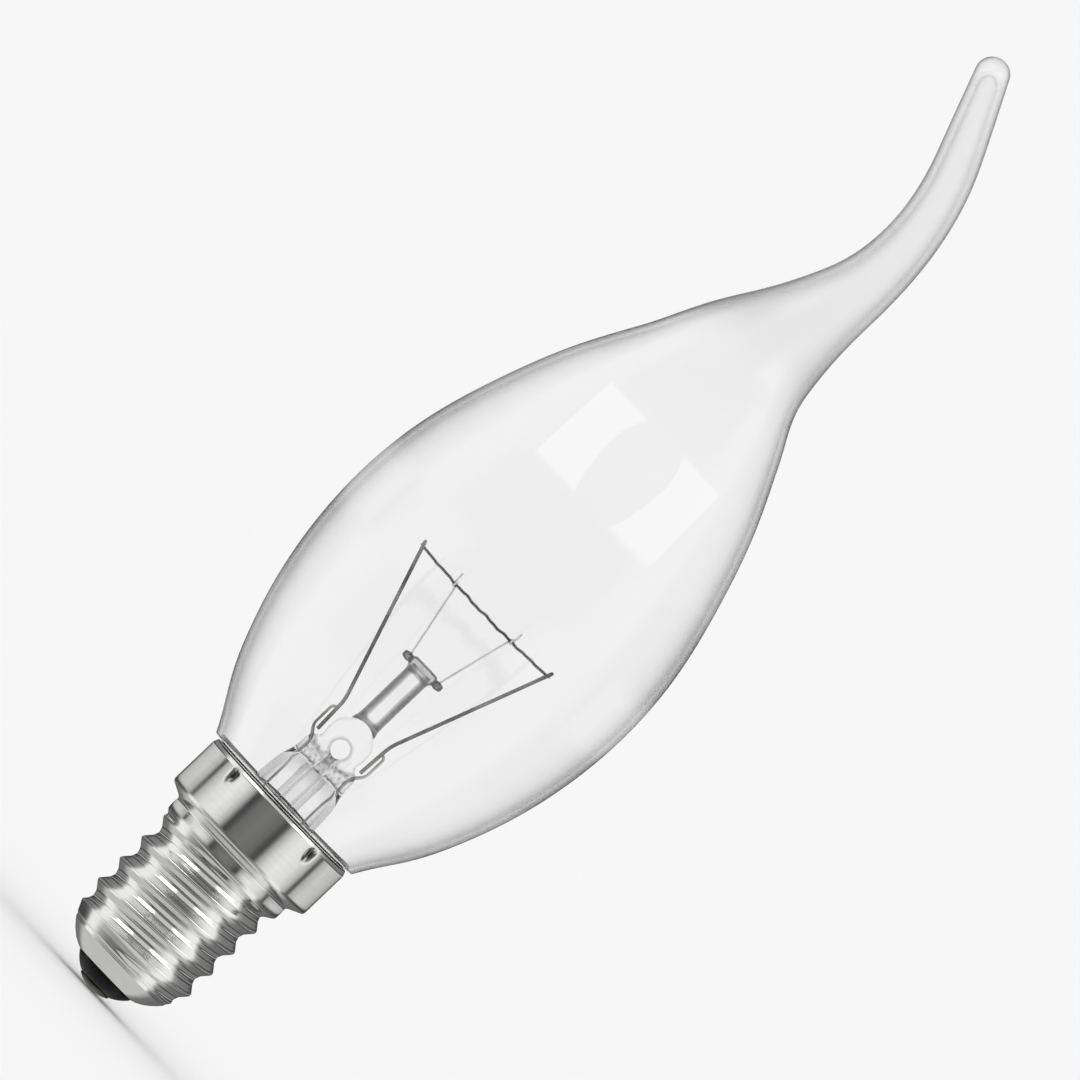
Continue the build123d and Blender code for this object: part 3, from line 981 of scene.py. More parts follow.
@dataclass
class Stem:
    """The flared tube with its press and blow hole, the exhaust tube and the rod with its button.

    Attributes:
        body: Height, half width along X, half depth along Y and squareness of the outside.
        bell: Centre radius, centre height and arc radius of the flare's bell.
        rim: Radius of the bell's rim, and the heights of its upper and lower edge.
        wall: Wall of the flared tube.
        ceiling: Height at which the flare's bore ends below the press.
        bore_start: Height of the bore's first row above the bell's centre.
        pinch: Height from which the bore is pinched, and the shares of width and depth it loses.
        hole: Height of the blow hole, its radius at the middle and what the cube of depth adds.
        hole_reach: Half length of the cut that makes the hole.
        pump_start: Depth below the ceiling from which the pump's bore is cut.
        seed_columns: First and last place of the press's bubbles across, and their number.
        seed_rows: First and last height of the bubbles, and their number.
        seed_shift: Shift of each row of bubbles across.
        seed_loose: Largest random shift of a bubble.
        seed_depth: Distance of the bubbles from the middle plane.
        seed_radius: Smallest and largest radius of a bubble.
        seed_flat: Share of a bubble's depth that is pressed flat.
        tube_radius: Outside radius of the exhaust tube.
        tube_bore: Bore of the exhaust tube.
        tube_tip: Height of the exhaust tube's closed end.
        tube_gap: Gap between the exhaust tube and the ceiling.
        tube_middle: Height of a row half way up the exhaust tube.
        melt_outside: Radius and height above the tip of the melted end's outside.
        melt_inside: Radius and height above the tip of its inside, from above.
        melt_ends: Heights above the tip at which the tube has its full outside and its full bore.
        rod: Radius, lower and upper end of the arbor rod.
        rod_foot: Widening of the rod at its foot and the length it takes.
        rod_head: Widening of the rod at the button and the length it takes.
        arch: Rise of the joint between press and rod.
        arch_from: Height on the press from which the joint is arched.
        arch_fade: Length of rod over which the arch fades.
        bar: Half length, half depth, half height and middle height of the button.
        bar_ends: Power that rounds the button's ends.
        bar_section: Power that squares its section.
        bar_neck: Place of the button's necks, their half width and the share they take off.
        bar_knob: Places between which the knobs start and the share they are smaller by.
    """

    body: tuple[tuple[float, float, float, float], ...] = (
        (35.2, 1.5, 1.1, 2.0), (35.1, 1.6, 1.12, 2.0), (34.85, 1.84, 1.1, 2.2),
        (34.4, 2.18, 1.08, 2.5), (33.9, 2.3, 1.06, 2.6), (32.75, 2.32, 1.06, 2.6),
        (31.95, 2.42, 1.08, 2.7), (31.6, 2.85, 1.2, 2.8), (31.2, 3.08, 1.28, 3.0),
        (30.5, 3.14, 1.3, 3.0), (29.7, 3.2, 1.45, 2.8), (29.3, 3.28, 2.0, 2.4),
        (28.9, 3.38, 2.75, 2.1), (28.4, 3.54, 3.3, 2.0), (27.0, 3.74, 3.66, 2.0),
        (25.4, 3.82, 3.8, 2.0), (24.25, 3.84, 3.84, 2.0),
    )
    bell: Triple = (7.2, 24.25, 3.36)
    rim: Triple = (7.88, 20.6, 20.1)
    wall: float = 0.5
    ceiling: float = 29.28
    bore_start: float = 0.3
    pinch: Triple = (27.6, 0.1, 0.5)
    hole: Triple = (32.4, 0.9, 0.28)
    hole_reach: float = 1.4
    pump_start: float = 0.5
    seed_columns: tuple[float, float, int] = (-2.1, 2.1, 8)
    seed_rows: tuple[float, float, int] = (29.95, 31.05, 3)
    seed_shift: Triple = (0.0, 0.3, 0.0)
    seed_loose: float = 0.09
    seed_depth: float = 0.9
    seed_radius: Pair = (0.08, 0.19)
    seed_flat: float = 0.6
    tube_radius: float = 1.38
    tube_bore: float = 0.7
    tube_tip: float = 9.5
    tube_gap: float = 0.03
    tube_middle: float = 20.0
    melt_outside: Table = ((0.12, 0.02), (0.45, 0.2), (0.85, 0.75), (1.15, 1.5))
    melt_inside: Table = ((0.45, 2.1), (0.15, 1.8), (0.02, 1.7))
    melt_ends: Pair = (2.4, 2.6)
    rod: Triple = (1.3, 35.22, 42.75)
    rod_foot: Pair = (0.18, 0.9)
    rod_head: Pair = (0.25, 0.7)
    arch: float = 0.55
    arch_from: float = 34.3
    arch_fade: float = 3.0
    bar: tuple[float, float, float, float] = (2.52, 1.15, 0.62, 42.96)
    bar_ends: float = 0.45
    bar_section: float = 0.5
    bar_neck: Triple = (1.62, 0.16, 0.3)
    bar_knob: Triple = (1.7, 1.9, 0.12)

    def arched(self, grid: np.ndarray, low: float, high: float) -> np.ndarray:
        """Raise a grid into the arched joint: a parabola in x that fades between two heights.

        Args:
            grid: Points, changed in place.
            low: Height at which the arch has no effect.
            high: Height at which it has its full effect.

        Returns:
            The grid.
        """
        share = np.clip(grid[..., 0] / self.body[0][1], -1, 1)
        reach = np.clip((grid[..., 2] - low) / (high - low), 0, 1)
        grid[..., 2] += self.arch * (1 - share**2) * reach
        return grid

    def rings(self, rows: np.ndarray, columns: int) -> np.ndarray:
        """Superellipses stacked along Z: |x/a|^n + |y/b|^n = 1 with a, b and n from each row.

        Args:
            rows: Rows of height, half width, half depth and squareness.
            columns: Points round each ring.

        Returns:
            Array of rows by columns by 3.
        """
        angle = circle(columns)
        height, wide, deep, square = (rows[:, i : i + 1] for i in range(4))
        cos, sin = np.cos(angle), np.sin(angle)
        x = wide * np.sign(cos) * np.abs(cos) ** (2 / square)
        y = deep * np.sign(sin) * np.abs(sin) ** (2 / square)
        return np.stack((x, y, height + 0 * x), axis=-1)

    def bell_rows(self, arc: float) -> np.ndarray:
        """Round rows along a quarter of a circle that turns from the upright wall out to the rim.

        Args:
            arc: Radius of the circle.

        Returns:
            Rows of height, half width, half depth and squareness.
        """
        middle, height = self.bell[:2]
        turn = np.linspace(np.pi, 1.5 * np.pi, 20)
        radius = middle + arc * np.cos(turn)
        return np.column_stack((height + arc * np.sin(turn), radius, radius, np.full_like(turn, ROUND)))

    def bore_rows(self, table: np.ndarray) -> np.ndarray:
        """Round rows up the bore: one wall within the outside, eased flat towards the ceiling.

        Args:
            table: Rows of the outside with rising heights.

        Returns:
            Rows of height, half width, half depth and squareness.
        """
        start, wide_loss, deep_loss = self.pinch
        at = np.linspace(self.bell[1] + self.bore_start, self.ceiling, 16)
        radius = np.interp(at, table[:, 0], table[:, 1]) - self.wall
        pinch = ease(start, self.ceiling, at)
        wide, deep = radius * (1 - wide_loss * pinch), radius * (1 - deep_loss * pinch)
        return np.column_stack((at, wide, deep, np.full_like(at, ROUND)))

    def flare(self) -> Piece:
        """Outside from the press's top down to the bell, then the bore up to its ceiling.

        The outside follows splines through the body's rows. The blow hole and the pump's bore are
        cut out of it, and the bubbles are put in.

        Returns:
            The piece.
        """
        table = np.array(self.body)[::-1]
        at = np.linspace(table[0, 0], table[-1, 0], 90)
        sizes = [natural_curve(table[:, 0], table[:, i], at) for i in (1, 2, 3)]
        outside = np.column_stack((at, *sizes))[::-1]
        even = np.ones(len(CLOSING))
        dome = table[-1] * np.column_stack((even, CLOSING, CLOSING, even))
        radius, *edges = self.rim
        rim = np.array([(height, radius, radius, ROUND) for height in edges])
        bell, under = self.bell_rows(self.bell[2]), self.bell_rows(self.bell[2] + self.wall)
        rows = np.vstack((dome, outside, bell[1:], rim, under[::-1][:-1], self.bore_rows(table)))
        grid = self.arched(self.rings(rows, 72), self.arch_from, table[-1, 0])
        piece = Shape().add(grid).mesh("stem_flare_glass")
        middle, narrow, growth = self.hole
        depth = np.linspace(-self.hole_reach, self.hole_reach, 29)
        across = np.column_stack((0 * depth, depth, np.full(len(depth), middle)))
        cutter = tube(across, narrow + growth * np.abs(depth) ** 3, 48, AXIS_X)
        combine(piece, Shape().add(cutter).mesh("blow_hole"), Merge.CUT)
        up = np.array([(0.0, 0.0, self.ceiling - self.pump_start), (0.0, 0.0, middle)])
        cutter = tube(up, self.tube_bore, 32, AXIS_X)
        combine(piece, Shape().add(cutter).mesh("pump_bore"), Merge.CUT)
        self.add_seeds(piece)
        return piece

    def add_seeds(self, piece: Piece) -> None:
        """Put flat bubbles into the press on a loose grid, before the pump's bore and behind it.

        Args:
            piece: The flare.
        """
        chance = np.random.default_rng(11)
        places = np.meshgrid(np.linspace(*self.seed_columns), np.linspace(*self.seed_rows))
        across, up = (axis.ravel() for axis in places)
        shift = np.repeat(self.seed_shift, self.seed_columns[2])
        shape = Shape()
        for side in Side:
            middle = self.seed_depth * side.value
            loose = chance.uniform(-self.seed_loose, self.seed_loose, (2, across.size))
            x = across + shift * side.value + loose[0]
            centres = np.column_stack((x, np.full(across.size, middle), up + loose[1]))
            grids = bubbles(centres, chance.uniform(*self.seed_radius, across.size))
            grids[..., 1] += self.seed_flat * (middle - grids[..., 1])
            for grid in grids:
                shape.add(grid, hollow=True)
        extra = shape.mesh("press_seeds")
        joined = {"active_object": piece, "selected_editable_objects": [piece, extra]}
        with bpy.context.temp_override(**joined):
            bpy.ops.object.join()

    def exhaust(self) -> Piece:
        """A tube with a melted, closed lower end: a profile turned round Z.

        Returns:
            The piece.
        """
        tip, top = self.tube_tip, self.ceiling - self.tube_gap
        full, hollow = (tip + rise for rise in self.melt_ends)
        outside = [(self.tube_radius, height) for height in (full, self.tube_middle, top)]
        inside = [(self.tube_bore, height) for height in (top, self.tube_middle, hollow)]
        melted = [(radius, tip + rise) for radius, rise in self.melt_outside]
        closed = [(radius, tip + rise) for radius, rise in self.melt_inside]
        profile = np.array(melted + outside + inside + closed)
        return Shape().add(turned(profile, 48)).mesh("exhaust_tube_glass", PROFILE_CREASE)

    def arbor(self) -> Piece:
        """The rod, a profile turned round Z, joined with its button.

        Returns:
            The piece.
        """
        radius, low, high = self.rod
        foot, foot_run = self.rod_foot
        head, head_run = self.rod_head
        at = np.linspace(low, high, 40)
        swell = radius + foot * (1 - ease(low, low + foot_run, at)) + head * ease(high - head_run, high, at)
        base = np.column_stack((swell[0] * CLOSING, np.full(len(CLOSING), low)))
        rod = turned(np.vstack((base, np.column_stack((swell, at)))), 56)
        piece = Shape().add(self.arched(rod, low + self.arch_fade, low)).mesh("arbor_rod_glass")
        combine(piece, Shape().add(self.button()).mesh("button_bar"), Merge.JOIN)
        return piece

    def button(self) -> np.ndarray:
        """Rounded oblongs carried along X: their size falls at both ends and dips at two necks.

        Returns:
            Array of places by points round the bar by 3.
        """
        half, deep, tall, middle = self.bar
        neck, neck_width, neck_loss = self.bar_neck
        knob_start, knob_full, knob_loss = self.bar_knob
        turn = np.linspace(-np.pi / 2, np.pi / 2, 91)[1:-1]
        x = half * np.sin(turn)
        dip = neck_loss * np.exp(-(((np.abs(x) - neck) / neck_width) ** 2))
        knob = 1 - dip - knob_loss * ease(knob_start, knob_full, np.abs(x))
        size = (np.abs(np.cos(turn)) ** self.bar_ends * knob)[:, None]
        angle = circle(40)
        cos, sin = np.cos(angle), np.sin(angle)
        y = deep * size * np.sign(cos) * np.abs(cos) ** self.bar_section
        z = middle + tall * size * np.sign(sin) * np.abs(sin) ** self.bar_section
        return np.stack((x[:, None] + 0 * angle, y, z), axis=-1)


@dataclass
class Mount:
    """The wires: seal wires, leads, supports and the coiled filament.

    Attributes:
        lead_radius: Radius of the inner leads.
        seal_radius: Radius of the seal wires.
        outer_radius: Radius of the outer leads.
        support_radius: Radius of the fine supports.
        seal_front: Place of the seal wires along Y.
        seal_corners: Distance from the axis and height of a seal wire's corners.
        seal_bend: Length of a seal wire's bends.
        knot: Thickening of a seal wire where it leaves the press, its height and half length.
        lead_depth: Distance of the leads in front of the middle plane.
        lead_foot: Distance from the axis and height of an inner lead's lower end.
        lead_turn: Distance from the axis and height at which an inner lead turns outward.
        clamp: Distance from the axis and height at which the leads hold the filament.
        fold: Length of a lead past the clamp, and of the end that is folded back.
        lead_bend: Length of a lead's bends.
        coil_radius: Radius of the filament's coil to the middle of its wire.
        coil_wire: Radius of the filament's wire.
        coil_turns: Turns of the whole coil.
        coil_points: Points on each turn.
        coil_ends: Part of the length, as its divisor, over which the ends narrow, and how far.
        span: Half length of the filament.
        sag: Fall of the filament at the middle.
        waves: Height, rate and start of the filament's waves.
        wander: Size and rate of its waves along Y.
        support_foot: Distance from the axis and height at which a support leaves the button.
        support_at: Distance from the axis at which it holds the filament.
        loop: Radius of a support's loop and half its advance.
        loop_entry: Step from the loop's start back to the support's straight run.
        loop_exit: Step from the loop's end to the tail.
        tail: Run of a support's tail.
        joint: Place where the right seal wire goes over into its outer lead.
        centre_run: Heights at which the centre lead turns in, meets the axis and ends.
        side_run: Heights at which the side lead turns out, crosses the rim and ends.
        side_reach: Distances from the axis at which it rises and at which it comes down.
        side_bend: Length of the side lead's bends.
        squeeze: Loss of its radius over the rim, the heights between which that sets in and the
            distance from the axis beyond which it does.
    """

    lead_radius: float = 0.185
    seal_radius: float = 0.14
    outer_radius: float = 0.125
    support_radius: float = 0.1
    seal_front: float = -0.01
    seal_corners: Table = ((2.55, 29.3), (2.48, 31.0), (3.5, 32.3), (3.5, 34.7), (2.95, 34.98))
    seal_bend: float = 0.4
    knot: Triple = (0.07, 31.5, 0.4)
    lead_depth: float = 0.335
    lead_foot: Pair = (2.88, 32.2)
    lead_turn: Pair = (3.05, 35.9)
    clamp: Pair = (8.4, 51.0)
    fold: Pair = (0.45, 1.35)
    lead_bend: float = 0.8
    coil_radius: float = 0.125
    coil_wire: float = 0.048
    coil_turns: float = 118.0
    coil_points: int = 11
    coil_ends: Pair = (60.0, 0.2)
    span: float = 8.7
    sag: float = 0.3
    waves: tuple[Triple, ...] = ((0.05, 2.3, 0.6), (0.03, 5.2, 0.0))
    wander: Pair = (0.02, 3.1)
    support_foot: Pair = (1.85, 43.05)
    support_at: float = 3.7
    loop: Pair = (0.235, 0.14)
    loop_entry: Triple = (-0.05, -0.10, -0.12)
    loop_exit: Triple = (0.03, 0.25, 0.0)
    tail: Triple = (0.1, 0.05, 1.45)
    joint: Triple = (2.55, -0.01, 29.3)
    centre_run: Triple = (9.0, 6.8, 0.42)
    side_run: Triple = (19.945, 24.89, 24.0)
    side_reach: Pair = (8.2, 8.905)
    side_bend: float = 0.3
    squeeze: tuple[float, float, float, float] = (0.045, 24.6, 24.8, 8.0)

    def seal(self, side: Side) -> Piece:
        """A seal wire: up through the press, thicker where it leaves it, and hooked over the lead.

        Args:
            side: Side of the mount.

        Returns:
            The piece.
        """
        corners = [(side.value * x, self.seal_front, z) for x, z in self.seal_corners]
        path = rounded_path(np.array(corners), self.seal_bend)
        gain, height, half = self.knot
        radius = self.seal_radius + gain * np.exp(-(((path[:, 2] - height) / half) ** 2))
        return Shape().add(tube(path, radius, 14, AXIS_Y)).mesh(f"seal_wire_{side.word}_round")

    def inner(self, side: Side) -> Piece:
        """An inner lead: from the press out to the filament, folded flat round its end.

        Args:
            side: Side of the mount.

        Returns:
            The piece.
        """
        foot, turn, clamp = (
            np.array((side.value * x, -self.lead_depth, z))
            for x, z in (self.lead_foot, self.lead_turn, self.clamp)
        )
        way = (clamp - turn) / np.linalg.norm(clamp - turn)
        crown = clamp + self.fold[0] * way
        behind = crown + np.array((0.0, 2 * self.lead_depth, 0.0))
        corners = np.array((foot, turn, crown, behind, behind - self.fold[1] * way))
        path = rounded_path(corners, self.lead_bend, 12)
        grid = tube(path, self.lead_radius, 16, (way[2], 0.0, -way[0]))
        return Shape().add(grid).mesh(f"inner_lead_{side.word}_round")

    def filament_line(self, x: np.ndarray) -> np.ndarray:
        """Middle line of the filament: a parabola's sag, with sine waves that die out at the ends.

        Args:
            x: Places along X.

        Returns:
            Points of the line.
        """
        free = 1 - (x / self.span) ** 2
        waves = sum(height * np.sin(rate * x + start) for height, rate, start in self.waves)
        size, rate = self.wander
        z = self.clamp[1] - self.sag * free + waves * free
        return np.column_stack((x, size * np.sin(rate * x), z))

    def filament(self) -> Piece:
        """A fine wire wound as a helix round the sagging middle line.

        Returns:
            The piece.
        """
        turn = np.linspace(0, 1, int(self.coil_turns * self.coil_points))
        line = self.filament_line((2 * turn - 1) * self.span)
        angle = 2 * np.pi * self.coil_turns * turn
        part, least = self.coil_ends
        size = self.coil_radius * np.clip(np.minimum(turn, 1 - turn) * part, least, 1.0)
        path = line + np.column_stack((0 * turn, size * np.cos(angle), size * np.sin(angle)))
        return Shape().add(tube(path, self.coil_wire, 6, AXIS_X)).mesh("filament_coil")

    def support(self, side: Side) -> Piece:
        """A fine support: from the button up to the filament, one open loop round it and a tail.

        The loop is a helix of one turn along X. Each point of the path is then the mean of five.

        Args:
            side: Side of the mount.

        Returns:
            The piece.
        """
        mirror = np.array((side.value, 1.0, 1.0))
        foot = mirror * (self.support_foot[0], 0.0, self.support_foot[1])
        hold = self.filament_line(np.array([side.value * self.support_at]))[0]
        size, advance = self.loop
        turn = np.linspace(-np.pi / 2, 1.5 * np.pi, 40)
        along = side.value * advance * np.linspace(-1, 1, 40)
        ring = hold + np.column_stack((along, size * np.cos(turn), size * np.sin(turn)))
        entry = ring[0] + mirror * self.loop_entry
        run = foot + (entry - foot) * np.linspace(0, 1, 24)[:, None]
        rise = np.linspace(0, 1, 10)[:, None]
        tail = ring[-1] + mirror * self.loop_exit + rise * (mirror * self.tail)
        path = np.vstack((run, ring, tail))
        padded = np.pad(path, ((2, 2), (0, 0)), "edge")
        smooth = np.lib.stride_tricks.sliding_window_view(padded, 5, axis=0).mean(axis=-1)
        smooth[0], smooth[-1] = path[0], path[-1]
        grid = tube(smooth, self.support_radius, 8, AXIS_X)
        return Shape().add(grid).mesh(f"filament_support_{side.word}_round")

    def centre_lead(self) -> Piece:
        """The outer lead from the press down to the end contact.

        Returns:
            The piece.
        """
        x, y, top = self.joint
        turn, meet, end = self.centre_run
        corners = [(-x, y, top), (-x, y, turn), (0.0, 0.0, meet), (0.0, 0.0, end)]
        path = rounded_path(np.array(corners), self.lead_bend)
        return Shape().add(tube(path, self.outer_radius, 12, AXIS_Y)).mesh("centre_lead_round")

    def side_lead(self) -> Piece:
        """The outer lead from the press down, out to the skirt, squeezed over its rim and down.

        Returns:
            The piece.
        """
        way = np.array((math.cos(SIDE_ANGLE), math.sin(SIDE_ANGLE)))
        inside, outside = (reach * way for reach in self.side_reach)
        turn, over, end = self.side_run
        corners = np.array((
            self.joint, (*self.joint[:2], turn), (*inside, turn),
            (*inside, over), (*outside, over), (*outside, end),
        ))
        path = rounded_path(corners, self.side_bend)
        loss, low, high, beyond = self.squeeze
        pressed = ease(low, high, path[:, 2]) * (np.hypot(path[:, 0], path[:, 1]) > beyond)
        grid = tube(path, self.outer_radius - loss * pressed, 12, (-way[1], way[0], 0.0))
        return Shape().add(grid).mesh("side_lead_round")


@dataclass
class Cap:
    """The screw cap: plated shell with its rolled thread, black plug, eyelet and solder.

    Attributes:
        outline: Height and radius of the shell's outside before the thread is rolled.
        inside: Height and radius of the shell's inside, from the rim down.
        rows: End and number of rows of each stretch of the outside, from the nose up.
        crest: Radius over the thread's crests.
        depth: Depth of the thread.
        pitch: Rise of one turn.
        softness: Rounding of the crests.
        ripple: Half height of the fine steps left by the rolling.
        ripples: Steps on one turn.
        first_crest: Height of a crest at +X.
        fade: Heights between which the thread fades into the band.
        skirt: Radius of the skirt.
        dents: Number of dents, their height, radius and depth.
        dent_start: Angle of the first dent in degrees.
        dent_tall: Shares by which the distance from a dent counts below and above its middle.
        dent_point: Power that points a dent's floor.
        dent_shade: Painted shade at a dent's floor, before it is held at 1.
        columns: Points round the shell.
        plug_profile: Radius and height round the black plug's section.
        eyelet_profile: Radius and height round the eyelet's section.
        drop: Radius and height of the solder on the end contact, and the power of its curve.
        drop_start: Share of that radius at which the solder's rows start.
        wobble: Size, lobes and start of the waves in that solder's edge.
        bead: Height and distance from the axis of the side solder's middle.
        bead_size: Its half width, half height, rise and depth in the skirt.
        bead_foot: Half width of its hidden foot.
        bead_wrap: How much its sides follow the skirt round.
    """

    outline: Table = (
        (2.0, 3.45), (2.1, 3.8), (2.45, 4.45), (2.95, 5.08), (3.4, 5.52), (3.78, 5.84), (3.9, 5.9),
        (4.02, 5.91), (4.14, 6.0), (4.3, 6.12), (4.9, 6.42), (5.5, 6.7), (6.1, 6.90), (6.6, 6.93),
        (16.5, 6.93), (16.8, 7.1), (17.05, 7.2), (17.35, 7.225), (17.65, 7.23), (17.95, 7.215),
        (18.2, 7.19), (18.34, 7.22), (18.5, 7.42), (18.9, 8.25), (19.08, 8.6), (19.25, 8.73),
        (19.5, 8.75), (24.22, 8.75), (24.3, 8.735), (24.7, 8.58), (24.76, 8.54), (24.8, 8.48),
    )
    inside: Table = (
        (24.8, 8.27), (24.6, 8.36), (24.45, 8.42), (24.3, 8.48), (24.2, 8.5), (24.1, 8.5),
        (24.0, 8.5), (23.9, 8.5), (23.8, 8.5), (23.7, 8.5), (23.6, 8.5), (23.4, 8.5), (23.1, 8.5),
        (22.7, 8.5), (22.2, 8.5), (19.3, 8.5), (18.5, 6.95), (17.4, 6.95), (17.3, 5.9), (10.0, 5.9),
        (4.4, 5.9), (3.6, 5.4), (3.0, 5.0), (2.5, 4.3), (2.2, 3.7), (2.0, 3.2),
    )
    rows: tuple[tuple[float, int], ...] = (
        (6.0, 60), (17.2, 160), (18.2, 8), (19.5, 26), (22.3, 10), (24.8, 36),
    )
    crest: float = 6.93
    depth: float = 0.78
    pitch: float = 2.822
    softness: float = 0.25
    ripple: float = 0.014
    ripples: int = 5
    first_crest: float = 6.3
    fade: Pair = (16.0, 17.0)
    skirt: float = 8.75
    dents: tuple[int, float, float, float] = (5, 23.8, 0.66, 0.4)
    dent_start: float = -54.0
    dent_tall: Pair = (0.42, 0.85)
    dent_point: float = 1.2
    dent_shade: float = 1.6
    columns: int = 280
    plug_profile: Table = (
        (0.78, 0.66), (1.6, 0.66), (1.84, 0.67), (1.96, 0.71), (2.25, 0.86), (2.62, 1.12),
        (3.0, 1.46), (3.3, 1.8), (3.39, 1.96), (3.2, 2.06), (4.0, 2.7), (4.6, 3.1), (5.1, 3.7),
        (5.1, 3.9), (0.9, 3.9), (0.78, 3.8),
    )
    eyelet_profile: Table = (
        (0.55, 0.41), (1.62, 0.41), (1.74, 0.45), (1.8, 0.53), (1.8, 0.62), (1.74, 0.65),
        (0.75, 0.65), (0.75, 4.0), (1.1, 4.05), (1.12, 4.15), (1.0, 4.2), (0.6, 4.1), (0.55, 3.9),
    )
    drop: Triple = (1.66, 0.4, 2.2)
    drop_start: float = 0.04
    wobble: tuple[Triple, ...] = ((0.03, 3.0, 0.5), (0.01, 7.0, 0.0))
    bead: Pair = (23.9, 8.72)
    bead_size: tuple[float, float, float, float] = (0.95, 0.9, 0.72, 0.25)
    bead_foot: float = 0.92
    bead_wrap: float = 0.06

    def dent_depth(self, height: np.ndarray, angle: np.ndarray) -> np.ndarray:
        """Depth of the dents: a rounded cone round each dent's middle, drawn out downward.

        Args:
            height: Heights as a column.
            angle: Angles as a row.

        Returns:
            Depth for each height and angle.
        """
        count, middle, radius, depth = self.dents
        step = 2 * np.pi / count
        offset = np.mod(angle - math.radians(self.dent_start) + step / 2, step) - step / 2
        tall = np.where(height < middle, *self.dent_tall)
        reach = np.hypot(offset * self.skirt, tall * (height - middle)) / radius
        return depth * (1 - ease(0.0, 1.0, reach)) ** self.dent_point

    def rolled(self, height: np.ndarray, angle: np.ndarray) -> np.ndarray:
        """Radius of the rolled thread, a wave in height / pitch - angle / 2 pi.

        The wave is the size of a sine, softened at its crests, so it has narrow crests and wide
        round roots, and the ripple lies in the roots.

        Args:
            height: Heights as a column.
            angle: Angles as a row.

        Returns:
            Radius for each height and angle.
        """
        phase = (height - self.first_crest) / self.pitch - angle / (2 * np.pi)
        arch = np.sqrt(np.sin(np.pi * phase) ** 2 + self.softness**2)
        top = math.hypot(1, self.softness)
        root = 1 - (top - arch) / (top - self.softness)
        steps = 1 - np.cos(2 * np.pi * self.ripples * phase)
        return self.crest - self.depth * root - self.ripple * steps * root

    def shell(self) -> Piece:
        """Outside from the nose to the rim and inside back down, as one closed loop turned round Z.

        The nose cuts the thread off below, and above it fades into the band.

        Returns:
            The piece, with an attribute for the painted shade in its dents.
        """
        angle = circle(self.columns)[None]
        z = spread(self.outline[0][0], self.rows)[:, None]
        plain = np.interp(z, *np.transpose(self.outline))
        rolled = self.rolled(z, angle)
        fade = ease(*self.fade, z)
        faded = rolled * (1 - fade) + plain * fade
        dents = self.dent_depth(z, angle)
        outer = np.where(z < self.fade[0], np.minimum(plain, rolled), faded) - dents
        low, radius = (column[:, None] for column in np.transpose(self.inside))
        inner = radius - self.dent_depth(low, angle)
        radius = np.vstack((outer, inner))
        height = np.vstack((z, low)) + 0 * angle
        grid = np.stack((radius * np.cos(angle), radius * np.sin(angle), height), axis=-1)
        piece = Shape().add(grid, ring=True).mesh("screw_shell_rolled", PROFILE_CREASE)
        # Painted shade for the dents, by their depth, so it also trails below each dent with the dent's
        # shape
        dent_shade_mask = np.vstack((self.dent_shade * dents / self.dents[3], np.zeros_like(inner)))
        layer = piece.data.attributes.new(PlateFinish.attribute, "FLOAT", "POINT")
        layer.data.foreach_set("value", np.clip(dent_shade_mask, 0, 1).ravel())
        return piece

    def plug(self) -> Piece:
        """The black plug: a rounded cone below the nose and a hidden body with the lead's hole."""
        grid = turned(np.array(self.plug_profile), 96)
        return Shape().add(grid, ring=True).mesh("cap_insulator_moulded", PROFILE_CREASE)

    def eyelet(self) -> Piece:
        """The end contact's eyelet: the section of a flanged tube, turned round Z."""
        grid = turned(np.array(self.eyelet_profile), 64)
        return Shape().add(grid, ring=True).mesh("contact_eyelet_pressed", PROFILE_CREASE)

    def contact(self) -> Piece:
        """The solder on the end contact: a turned drop whose radius wavers round its edge.

        Returns:
            The piece.
        """
        radius, height, power = self.drop
        share = np.linspace(self.drop_start, 1, 18)
        across = radius * np.concatenate((share, share[::-1][1:]))
        up = np.concatenate((height * share**power, np.full(len(share) - 1, height)))
        grid = turned(np.column_stack((across, up)), 64)
        waves = (size * (1 + np.sin(lobes * circle(64) + start)) for size, lobes, start in self.wobble)
        grid[:, :, :2] *= (1 - sum(waves))[None, :, None]
        return Shape().add(grid).mesh("contact_solder_drop", PROFILE_CREASE)

    def side_drop(self) -> Piece:
        """The solder at the side lead: rings that shrink by a cosine as they rise from the skirt.

        Returns:
            The piece.
        """
        middle, start = self.bead
        wide, tall, rise, sunk = self.bead_size
        turn = np.linspace(0, np.pi / 2, 14)[:-1]
        out = np.concatenate(([-sunk], rise * np.sin(turn)))
        size = np.concatenate(([self.bead_foot], wide * np.cos(turn)))[:, None]
        angle = circle(40)
        side = size * np.cos(angle)
        reach = (start + out)[:, None] - self.bead_wrap * side**2
        cos, sin = math.cos(SIDE_ANGLE), math.sin(SIDE_ANGLE)
        x, y = reach * cos - side * sin, reach * sin + side * cos
        grid = np.stack((x, y, middle + tall * size * np.sin(angle)), axis=-1)
        return Shape().add(grid).mesh("side_solder_drop", PROFILE_CREASE)


# Studio


